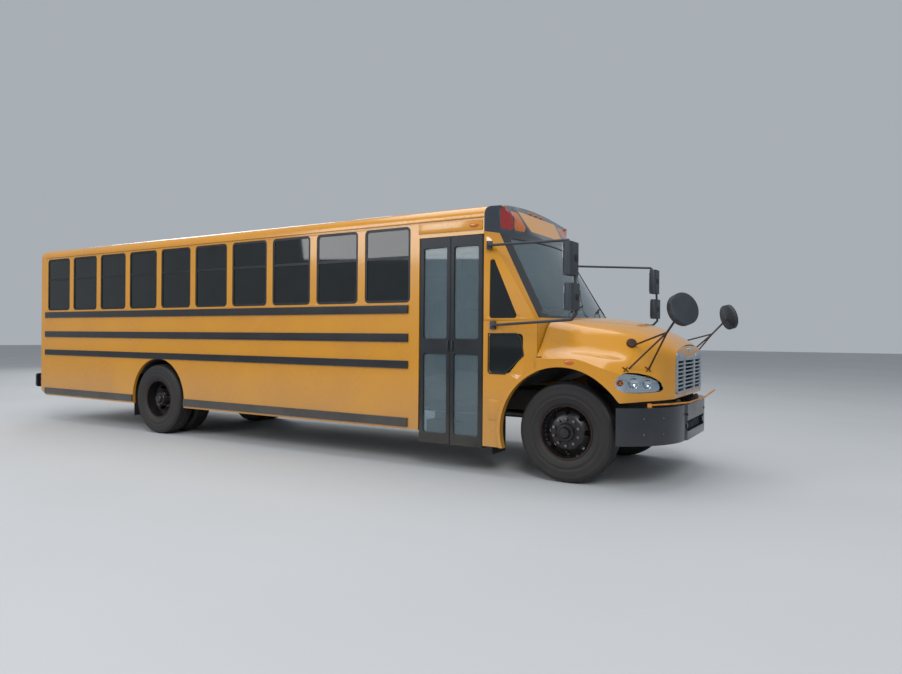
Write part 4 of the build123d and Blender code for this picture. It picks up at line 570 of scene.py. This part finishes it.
# Headlight: its outline in the plane of the lamp, its place, its turn outward and its bowls (along, up, radius)
LAMP_EDGE = rounded([(-0.282, 0.010), (-0.262, 0.082), (-0.170, 0.122), (-0.020, 0.116), (0.130, 0.084),
                     (0.240, 0.020), (0.272, -0.045), (0.225, -0.076), (0.0, -0.086), (-0.180, -0.078),
                     (-0.262, -0.045)], 0.05)
LAMP_STATION = 0.75
LAMP_OUT = BODY_HALF - 0.209
LAMP_Z = 1.060
LAMP_TURN = math.radians(48)
LAMP_BOWLS = ((-0.075, 0.016, 0.068), (0.085, 0.004, 0.060), (-0.215, 0.018, 0.036))
BACK_DEPTH = 0.032
BOWL_DEPTH = 0.030


def lamp_look(side):
    """The way that the headlight faces."""
    return Vector((math.cos(LAMP_TURN), side * math.sin(LAMP_TURN), 0))


def lamp_spot(side, along, up, push=0.0):
    """A place on the headlight: along it, up from its middle and pushed out the way that it faces."""
    return (fwd(LAMP_STATION) + along * math.sin(LAMP_TURN) + push * math.cos(LAMP_TURN),
            side * (LAMP_OUT - along * math.cos(LAMP_TURN) + push * math.sin(LAMP_TURN)), LAMP_Z + up)


def lamp_prism(name, side, wide=1.0, tall=1.0):
    """The lamp's outline pushed through the skin of the bonnet."""
    return prism(name, [lamp_spot(side, u * wide, v * tall, -0.30) for u, v in LAMP_EDGE], lamp_look(side) * 0.60)


lenses = []
backs = []
seats = {}
for side, word in SIDES:
    look = lamp_look(side)
    wide = lamp_prism("lamp_back_edge", side, 1.09, 1.16)
    back = cut(copied(hood, "headlight_back_" + word), wide, "INTERSECT")
    back.data.transform(Matrix.Translation(look * -BACK_DEPTH))
    for along, up, radius in LAMP_BOWLS:
        seat = surface(hood, lamp_spot(side, along, up, 0.3), -look) - look * 0.045
        seats[side, along] = seat
        hole = drum("bowl_hole", seat, look, radius - 0.002, 0.12)
        cut(back, hole)
        dropped(hole)
    backs.append(back)
    mouth = lamp_prism("lamp_mouth", side)
    lenses.append(cut(copied(hood, "lamp_lens_part"), mouth, "INTERSECT"))
    cut(hood, mouth)
    dropped(wide, mouth)
dropped(opening)
hood = smooth(joined("hood_piece", [hood, face]), 30)
placed(hood, "hood", "paint", nodes=["hood"])
placed(smooth(joined("headlight_lenses", lenses), 40), "hood", "lens", nodes=["headlights"])
for (side, word), back in zip(SIDES, backs):
    placed(smooth(back, 40), "hood", material=chrome)
    look = lamp_look(side)
    for number, (along, up, radius) in enumerate(LAMP_BOWLS):
        bowl = drum("headlight_bowl_%s_%d" % (word, number), seats[side, along], look, radius, BOWL_DEPTH, 0.006)
        alone(bowl)
        bpy.ops.object.mode_set(mode="EDIT")
        bpy.ops.mesh.select_all(action="DESELECT")
        bpy.ops.object.mode_set(mode="OBJECT")
        for polygon in bowl.data.polygons:
            polygon.select = polygon.normal.dot(look) > 0.99 and polygon.area > 0.001
        bpy.ops.object.mode_set(mode="EDIT")
        bpy.ops.mesh.inset(thickness=0.006)
        bpy.ops.mesh.extrude_region_move(TRANSFORM_OT_translate={"value": look * -0.018})
        bpy.ops.object.mode_set(mode="OBJECT")
        placed(bowl, "hood", material=amber if number == 2 else chrome)

# Inside and rear-facing faces of the bonnet in chassis black: painted shade for the shadowed hollow of the wheel arch
hood.data.materials.append(MATERIALS["chassis"])
for polygon in hood.data.polygons:
    inward = polygon.normal.dot(polygon.center - Vector((polygon.center.x, 0, 1.0))) < 0
    polygon.material_index = 1 if inward or polygon.normal.x < -0.5 else 0

# The grille: three columns of slots between thin bars in a rounded silver frame
SLOT_ROWS = 8
SLOT_COLUMNS = ((-0.565, -0.268), (-0.226, 0.226), (0.268, 0.565))
SLOT_FOOT = 0.973
SLOT_PITCH = 0.0415
SLOT_HEIGHT = 0.0265
grille = prism("grille_piece", [(fwd(0.971), y, z) for y, z in GRILLE_EDGE], (0.055, 0, 0))
slots = []
for row in range(SLOT_ROWS):
    z = SLOT_FOOT + row * SLOT_PITCH
    for low, high in SLOT_COLUMNS:
        slots.append(block("slot", (fwd(0.95), low, z), (fwd(1.05), high, z + SLOT_HEIGHT), 0.005))
slots = joined("slots", slots)
cut(grille, slots)
dropped(slots)
applied(grille, "BEVEL", width=0.003, segments=2, limit_method="ANGLE", angle_limit=math.radians(50))
placed(smooth(grille, 40), "hood", "grille", nodes=["grille"])
placed(block("grille_backing", (fwd(0.900), -0.60, 0.945), (fwd(0.906), 0.60, 1.32)), "hood", "mirror_shell")

# The plain oval plate over the grille
plate = drum("hood_plate", (fwd(1.014), 0, 1.405), (1, 0, 0), 0.030, 0.010, 0.003)
plate.data.transform(Matrix.Diagonal((1, 2.2, 1, 1)))
placed(plate, "hood", material=chrome)

# The cab's own skin behind the bonnet's rear edge
COWL_HALF = 1.214
COWL_LOW = 1.235
COWL_TALL = 0.462
COWL_STEPS = 40
outs = [COWL_HALF * (2 * k / COWL_STEPS - 1) for k in range(COWL_STEPS + 1)]
skin = prism("cowl_front_skin", [(fwd(seam(y, 0.004)), y, COWL_LOW) for y in outs]
             + [(fwd(seam(y, 0.0005)), y, COWL_LOW) for y in reversed(outs)], (0, 0, COWL_TALL))
placed(smooth(skin), "body", "paint")

# Rubber latches on the seam behind the wings, and the oval markers on the wings
for side, word in SIDES:
    latch = side_block("hood_latch_" + word, side, (fwd(-0.272), 1.231, 1.255), (fwd(-0.205), 1.255, 1.325), 0.008)
    placed(latch, "hood", material=rubber)
    marker = ball("wing_marker_" + word, (fwd(0.098), side * 1.262, 1.272), (0.055, 0.012, 0.024))
    placed(marker, "hood", material=amber)

# Tyres: half of the outline as (out, radius), with four grooves in the tread and two rings on the bulged wall
TYRE_HALF = [
    (0.030, 0.528), (0.032, 0.516), (0.040, 0.516), (0.042, 0.5275), (0.078, 0.526), (0.080, 0.514), (0.088, 0.514),
    (0.090, 0.5245), (0.108, 0.521), (0.120, 0.511), (0.129, 0.494), (0.132, 0.480), (0.1345, 0.478), (0.1350, 0.468),
    (0.1345, 0.462), (0.1370, 0.440), (0.1398, 0.412), (0.1398, 0.404), (0.1378, 0.400), (0.1372, 0.372),
    (0.1392, 0.368), (0.1392, 0.360), (0.1352, 0.356), (0.1310, 0.330), (0.1240, 0.308), (0.1160, 0.292),
    (0.1080, 0.287),
]
RIM_RING = [(0.1080, 0.2865), (0.1180, 0.2880), (0.1200, 0.2840), (0.1180, 0.2790), (0.1060, 0.2775)]
HUB_CAP = [(-0.004, 0.001), (-0.004, 0.098), (0.022, 0.096), (0.032, 0.088), (0.034, 0.064), (0.058, 0.060),
           (0.070, 0.050), (0.074, 0.001)]
NUT_COUNT = 10
NUT_CIRCLE = 0.1425

tyre = turned("tyre_pattern", [(-y, r) for y, r in reversed(TYRE_HALF)] + [(0, AXLE_Z)] + TYRE_HALF, (0, 0, 0), 112)
ring = turned("rim_ring_pattern", RIM_RING, (0, 0, 0))
for word, wheel_node, tyre_node, axle, places in (
    ("front_right", "wheel_front_right", "tyre_front_right", FRONT_AXLE, (-0.970,)),
    ("front_left", "wheel_front_left", "tyre_front_left", FRONT_AXLE, (0.970,)),
    ("rear_right", "wheels_rear_right", "tyres_rear_right", REAR_AXLE, (-0.755, -1.085)),
    ("rear_left", "wheels_rear_left", "tyres_rear_left", REAR_AXLE, (0.755, 1.085)),
):
    body = BODY_OF[wheel_node]
    side = -1 if "right" in word else 1
    tyres = joined("tyres_" + word, [copied(tyre, "one_tyre", (axle, y, AXLE_Z)) for y in places])
    placed(tyres, body, "tyre", nodes=[tyre_node])
    disc = refined(wheel_node, 0.0, 30)
    edge = copied(ring, "rim_edge_" + word)
    edge.data.transform(Matrix.Translation((axle, places[-1], AXLE_Z)) @ Matrix.Scale(side, 4, (0, 1, 0)))
    placed(smooth(outward(edge)), body, material=rusty)
    # The hub's stepped cap and the nuts in a ring, seated on the disc's face
    middle = surface(disc, (axle, side * 2.0, AXLE_Z), (0, -side, 0)).y
    hub = turned("hub_cap_" + word, [(side * out, radius) for out, radius in HUB_CAP], (axle, middle, AXLE_Z), 48)
    placed(hub, body, "wheel")
    nuts = []
    for k in range(NUT_COUNT):
        angle = 2 * math.pi * (k + 0.5) / NUT_COUNT
        x, z = axle + NUT_CIRCLE * math.cos(angle), AXLE_Z + NUT_CIRCLE * math.sin(angle)
        seat = surface(disc, (x, side * 2.0, z), (0, -side, 0))
        nuts.append(drum("nut", (x, seat.y + side * 0.011, z), (0, 1, 0), 0.0175, 0.022, 0.002, 6))
    placed(disc, body, "wheel", nodes=[wheel_node])
    placed(joined("wheel_nuts_" + word, nuts), body, "steel")
dropped(tyre, ring)

# Panels and frames: CAD nodes with merged faces, soft shading below an angle and broken edges
OWN_FINISH = {"cab_nose": cab_paint, "front_cap": cap_finish, "crossover_mirrors": tripod_finish}
for node, edge, degrees in (
    ("wall_right", 0.0, 30), ("wall_left", 0.0, 30), ("roof", 0.0, 30), ("rear_cap", 0.0, 30),
    ("cowl_sides", 0.0, 3), ("cab_nose", 0.0, 30), ("windshield", 0.0, 30), ("front_cap", 0.0, 34),
    ("bumpers", 0.004, 34), ("rub_rails", 0.003, 34), ("window_frames", 0.0, 30), ("window_glass", 0.0, 30),
    ("chassis_frame", 0.003, 34), ("front_axle", 0.003, 34), ("springs", 0.003, 34), ("rear_axle", 0.0, 34),
    ("engine", 0.0, 34), ("radiator", 0.003, 34), ("propeller_shaft", 0.0, 34), ("fuel_tank", 0.0, 34),
    ("exhaust", 0.0, 34), ("mud_flaps", 0.002, 34), ("tail_lamps", 0.003, 34), ("floor", 0.0, 30),
    ("wheel_houses", 0.0, 30), ("stepwell", 0.002, 30), ("bulkhead", 0.0, 30), ("seat_frames", 0.002, 30),
    ("steering_wheel", 0.0, 40), ("brackets", 0.0, 34), ("side_mirrors", 0.0, 34), ("crossover_mirrors", 0.0, 40),
    ("knuckle_right", 0.0, 34), ("knuckle_left", 0.0, 34), ("track_rod", 0.0, 40), ("door_front_leaf", 0.002, 34),
    ("door_rear_leaf", 0.002, 34), ("door_front_glass", 0.0, 34), ("door_rear_glass", 0.0, 34),
    ("emergency_door", 0.002, 34), ("emergency_glass", 0.0, 34), ("hatch_front", 0.0, 34), ("hatch_rear", 0.0, 34),
    ("stop_arm", 0.002, 34), ("crossing_arm", 0.0, 40),
):
    placed(refined(node, edge, degrees), BODY_OF[node], SLOT_OF[node], OWN_FINISH.get(node), [node])

# Warning lamps, front and rear: amber inside, red outside
AMBER_HALF_FRONT = 0.795
AMBER_HALF_REAR = 0.76
lamps = refined("warning_lamps", 0.0, 34)
placed(lamps, "body", "warning_lens", nodes=["warning_lamps"])
lamps.data.materials.append(amber)
for polygon in lamps.data.polygons:
    limit = AMBER_HALF_FRONT if polygon.center.x > 0 else AMBER_HALF_REAR
    polygon.material_index = 1 if abs(polygon.center.y) < limit else 0


# Bench cushions, backs and the driver's seat: crowned closed forms with a sewn seam round the edge

def cushion(name, low, high, crown):
    """A pad with soft corners, a crown on its broad faces and a seam round its middle."""
    obj = edited(cube(name, low, high), (bpy.ops.mesh.subdivide, {"number_cuts": 9}))
    middle = [(a + b) / 2 for a, b in zip(low, high)]
    half = [(b - a) / 2 for a, b in zip(low, high)]
    thin = half.index(min(half))
    for corner in obj.data.vertices:
        part = [(corner.co[i] - middle[i]) / half[i] for i in range(3)]
        broad = [abs(part[i]) for i in range(3) if i != thin]
        swell = (1 - broad[0] ** 4) * (1 - broad[1] ** 4)
        pull = 1 - crown * (1 - swell) * 0.55
        corner.co[thin] = middle[thin] + part[thin] * half[thin] * pull
        if abs(part[thin]) < 0.12:
            for i in range(3):
                if i != thin and abs(part[i]) > 0.999:
                    corner.co[i] -= math.copysign(0.004, part[i])
    applied(obj, "SUBSURF", levels=1, render_levels=1)
    return smooth(obj, 70)


def soft_boxes(node):
    """Corners of each solid of a node of separate boxes."""
    alone(refined(node))
    bpy.ops.mesh.separate(type="LOOSE")
    found = []
    for piece in list(bpy.context.selected_objects):
        spots = [v.co for v in piece.data.vertices]
        found.append(([min(p[i] for p in spots) for i in range(3)], [max(p[i] for p in spots) for i in range(3)]))
        dropped(piece)
    return sorted(found, key=lambda corners: (round(corners[0][0], 3), corners[0][1]))


for node, crown in (("seat_cushions", 0.42), ("seat_backs", 0.34)):
    boxes = soft_boxes(node)
    first = cushion("pad_pattern", *boxes[0], crown)
    for index, (low, high) in enumerate(boxes):
        pad = copied(first, "%s_%02d" % (node, index + 1), [a - b for a, b in zip(low, boxes[0][0])])
        placed(smooth(pad, 70), "body", "vinyl", nodes=[node])
    dropped(first)
placed(block("driver_seat_stand", (2.72, 0.49, 1.000), (3.02, 0.79, 1.335), 0.01), "body", "chassis")
for name, low, high in (("driver_seat_cushion", (2.628, 0.390, 1.332), (3.108, 0.890, 1.462)),
                        ("driver_seat_back", (2.632, 0.400, 1.452), (2.745, 0.880, 2.145))):
    pad = cushion(name, low, high, 0.4)
    placed(pad, "body", "vinyl", nodes=["driver_seat"])

# Trim, seated on the surface that each piece is screwed to
bumper, cap, screen, nose = [bpy.data.objects[node + "_piece"]
                             for node in ("bumpers", "front_cap", "windshield", "cab_nose")]

# Drip rails over the windows, and the raised header over the door with its amber marker
for side, word in SIDES:
    rail = side_block("drip_rail_" + word, side, (-5.34, BODY_HALF, 2.842), (3.44, 1.236, 2.858), 0.004)
    placed(rail, "body", "paint")
header = side_block("door_header_right", -1, (fwd(-1.78), BODY_HALF, 2.708), (fwd(-0.935), 1.229, 2.822), 0.006)
placed(header, "body", "paint")
placed(ball("header_marker", (fwd(-1.040), -1.229, 2.765), (0.060, 0.014, 0.026)), "body", material=amber)

# Rivets in rows: one made, then repeated along the panels
RIVET_STEP = 0.085
bpy.ops.object.select_all(action="DESELECT")
bpy.ops.mesh.primitive_uv_sphere_add(segments=8, ring_count=4, radius=1, scale=(0.0055, 0.0026, 0.0055))
rivet = begun("rivet")
for (side, word), wall_end in zip(SIDES, (2.40, 3.36)):
    rows = []
    for height, low, high in ((2.872, -5.30, 3.40), (1.750, -5.30, wall_end), (1.420, -5.30, wall_end),
                              (1.105, -5.30, -2.90), (1.105, -1.50, wall_end)):
        row = copied(rivet, "rivet_row", (low, side * 1.2195, height))
        applied(row, "ARRAY", count=int((high - low) / RIVET_STEP), use_relative_offset=False,
                use_constant_offset=True, constant_offset_displace=(RIVET_STEP, 0, 0))
        rows.append(row)
    placed(smooth(joined("rivets_" + word, rows), 60), "body", "paint")
dropped(rivet)

# Three cluster lamps in the middle of the cap and one at each corner
for out, height in ((-0.92, 2.995), (-0.16, 3.035), (0.0, 3.035), (0.16, 3.035), (0.92, 2.995)):
    seat = surface(cap, (6.0, out, height), (-1, 0, 0))
    lamp = ball("cap_marker_%d" % round(out * 100 + 100), (seat.x + 0.002, out, height), (0.016, 0.045, 0.017))
    placed(lamp, "body", material=amber)

# Wipers: an arm and a blade each, lying on the screen
for word, foot_out, tip_out in (("right", -0.62, -0.10), ("left", 0.18, 0.72)):
    foot = surface(nose, (6.0, foot_out, 1.722), (-1, 0, 0)) + Vector((0.012, 0, 0))
    near, far = [surface(screen, (6.0, foot_out + (tip_out - foot_out) * t, 1.80 + 0.10 * t), (-1, 0, 0))
                 for t in (0.25, 1.0)]
    middle = (near + far) / 2
    arm = rod("wiper_arm", [foot, foot + Vector((0.02, 0, 0.02)), near + Vector((0.030, 0, 0)),
                            middle + Vector((0.026, 0, 0.01))], 0.006)
    blade = rod("wiper_blade", [near + Vector((0.014, 0, 0)), middle + Vector((0.020, 0, 0)),
                                far + Vector((0.014, 0, 0))], 0.007)
    placed(joined("wiper_" + word, [arm, blade]), "body", material=rubber)

# Door seals where the leaves meet, and the handles of the doors
for body, low, high in (("door_rear", 3.0165, 3.0220), ("door_front", 3.0242, 3.0297)):
    placed(block("door_seal_" + body, (low, -1.217, 0.31), (high, -1.181, 2.675), 0.0015), body, material=rubber)
for body, x in (("door_front", 3.052), ("door_rear", 2.994)):
    bar = rod("door_handle_" + body, [(x, y, z) for y, z in ((-BODY_HALF, 1.36), (-1.236, 1.375), (-1.236, 1.465),
                                                             (-BODY_HALF, 1.48))], 0.006)
    placed(bar, body, "mirror_shell")
bar = rod("emergency_handle", [(-5.610, 0.30, 1.62), (-5.632, 0.30, 1.63), (-5.632, 0.18, 1.63), (-5.610, 0.18, 1.62)],
          0.008)
placed(bar, "emergency_door", "mirror_shell")

# Bumper bolts in pairs, and the louvres behind its slot
bolts = []
for side, _ in SIDES:
    look = Vector((0.72, side * 0.69, 0)).normalized()
    for station, out, height in ((0.811, 1.09, 0.730), (0.962, 0.91, 0.730), (0.80, 1.08, 0.572), (0.948, 0.90, 0.572)):
        seat = surface(bumper, Vector((fwd(station), side * out, height)) + look * 0.35, -look)
        bolts.append(drum("bolt", seat + look * 0.003, look, 0.013, 0.008, 0.003, 16))
    seat = surface(bumper, (6.2, side * 0.427, 0.730), (-1, 0, 0))
    bolts.append(drum("bolt", seat + Vector((0.003, 0, 0)), (1, 0, 0), 0.013, 0.008, 0.003, 16))
placed(joined("bumper_bolts", bolts), "body", "steel")
bars = [block("bar", (fwd(1.030), -0.360, 0.560 + 0.019 * k), (fwd(1.058), 0.360, 0.568 + 0.019 * k), 0.002)
        for k in range(6)]
placed(joined("bumper_louvres", bars), "body", "mirror_shell")

# Mirror glasses on the back of the heads, and clamps on the tubes
for side, word in SIDES:
    faces = [side_block("face", side, (fwd(station) - 0.0475, 1.462, low), (fwd(station) - 0.0440, 1.658, high), 0.0015)
             for station, low, high in ((0.225, 2.155, 2.425), (0.240, 1.815, 2.025))]
    placed(joined("mirror_glass_" + word, faces), "body", material=chrome)
    clamps = [side_block("clamp", side, (fwd(station) - 0.030, 1.505, z - 0.030),
                         (fwd(station) + 0.030, 1.565, z + 0.030), 0.008)
              for station, z in ((0.255, 2.300), (0.268, 1.920))]
    placed(joined("mirror_clamps_" + word, clamps), "body", material=rubber)

# Feet of the crossover tripods on the bonnet (station, out, up): a round boss above, two small crosses below
BOSS_PLACE = (0.598, 0.800, 1.439)
CROSS_PLACES = ((0.620, 1.080, 1.180), (0.784, 0.860, 1.180))


def on_wing(side, station, out, up):
    """Where a tripod's rod stands on the bonnet, and the way that its skin looks there."""
    look = Vector((0.30, side * 0.80, 0.52)).normalized()
    return met(hood, Vector((fwd(station), side * out, up)) + look * 0.25, -look)


for side, word in SIDES:
    seat, facing = on_wing(side, *BOSS_PLACE)
    feet = [drum("boss", seat + facing * 0.010, facing, 0.052, 0.026, 0.006)]
    for place in CROSS_PLACES:
        seat, facing = on_wing(side, *place)
        along = facing.cross(Vector((0, 0, 1))).normalized()
        across = facing.cross(along)
        for arm in (along + across, along - across):
            feet.append(rod("foot", [seat + arm * 0.026 + facing * 0.004, seat + facing * 0.010,
                                     seat - arm * 0.026 + facing * 0.004], 0.005))
    placed(joined("tripod_feet_" + word, feet), "hood", material=rusty)

# Rubber lips round the low windows, and the filler door behind the front wheel
LIP = ((3.515, 1.562), (3.85, 1.562), (3.905, 1.52), (3.935, 1.33), (3.72, 1.128), (3.535, 1.128), (3.515, 1.15))
for side, word in SIDES:
    lip = rod("low_window_lip_" + word, [(x, side * 1.2195, z) for x, z in LIP], 0.009, closed=True)
    placed(lip, "body", material=rubber)
placed(block("filler_door", (3.52, -1.2245, 0.62), (3.68, -1.2190, 0.84), 0.003), "body", "paint")
placed(drum("filler_lock", (3.655, -1.2255, 0.73), (0, 1, 0), 0.010, 0.005, 0.001, 20), "body", "steel")

# Pale nosings on the step edges
for index, (y, z) in enumerate(((-1.165, 0.332), (-0.935, 0.640))):
    nosing = block("step_nosing_%d" % index, (2.62, y - 0.010, z - 0.012), (3.43, y + 0.012, z + 0.004), 0.002)
    placed(nosing, "body", "lid")

# Stage
bpy.ops.object.select_all(action="DESELECT")
bpy.ops.mesh.primitive_plane_add(size=160, location=(0, 0, 0))
floor = bpy.context.active_object
floor.name = "studio_floor"
# Pale matt floor paint
floor.data.materials.append(finished("matt_floor_paint", "#B9BBBD", "#B3B5B7", patch_mm=4000, grain=0.02,
                                     Roughness=0.75)[0])

world = bpy.data.worlds.new("studio_light")
bpy.context.scene.world = world
world.use_nodes = True
world.node_tree.nodes["Background"].inputs["Color"].default_value = linear("#DCE4EC")
world.node_tree.nodes["Background"].inputs["Strength"].default_value = 0.55
for name, place, aim, size, power in (
    ("key_light", (14, -16, 15), (2.5, 0, 1.2), 9, 2500),
    ("side_light", (-9, -17, 9), (-1, 0, 1.5), 9, 1300),
    ("top_light", (0, 0, 15), (0, 0, 0), 14, 1300),
    ("back_light", (-18, 12, 10), (0, 0, 1), 9, 900),
):
    light = bpy.data.lights.new(name, "AREA")
    light.size = size
    light.energy = power
    lamp = bpy.data.objects.new(name, light)
    lamp.location = place
    lamp.rotation_euler = (Vector(aim) - Vector(place)).to_track_quat("-Z", "Y").to_euler()
    bpy.context.scene.collection.objects.link(lamp)

# The photograph's viewing angle, found from places on the bus; focal length and picture width in pixels
FOCAL_PX = 677.17
PICTURE_PX = 902
eye = bpy.data.cameras.new("photo_camera")
camera = bpy.data.objects.new("photo_camera", eye)
bpy.context.scene.collection.objects.link(camera)
azimuth, pitch, roll = math.radians(31.12), math.radians(-0.09), math.radians(0.474)
ahead = Vector((-math.sin(azimuth) * math.cos(pitch), math.cos(azimuth) * math.cos(pitch), math.sin(pitch)))
turn = ahead.to_track_quat("-Z", "Y") @ Matrix.Rotation(roll, 3, "Z").to_quaternion()
camera.rotation_euler = turn.to_euler()
camera.location = (fwd(2.6302), -7.7829, 1.5322)
eye.sensor_fit = "HORIZONTAL"
eye.sensor_width = 36
eye.lens = FOCAL_PX / PICTURE_PX * eye.sensor_width
bpy.context.scene.camera = camera
bpy.context.scene.view_settings.view_transform = "Standard"
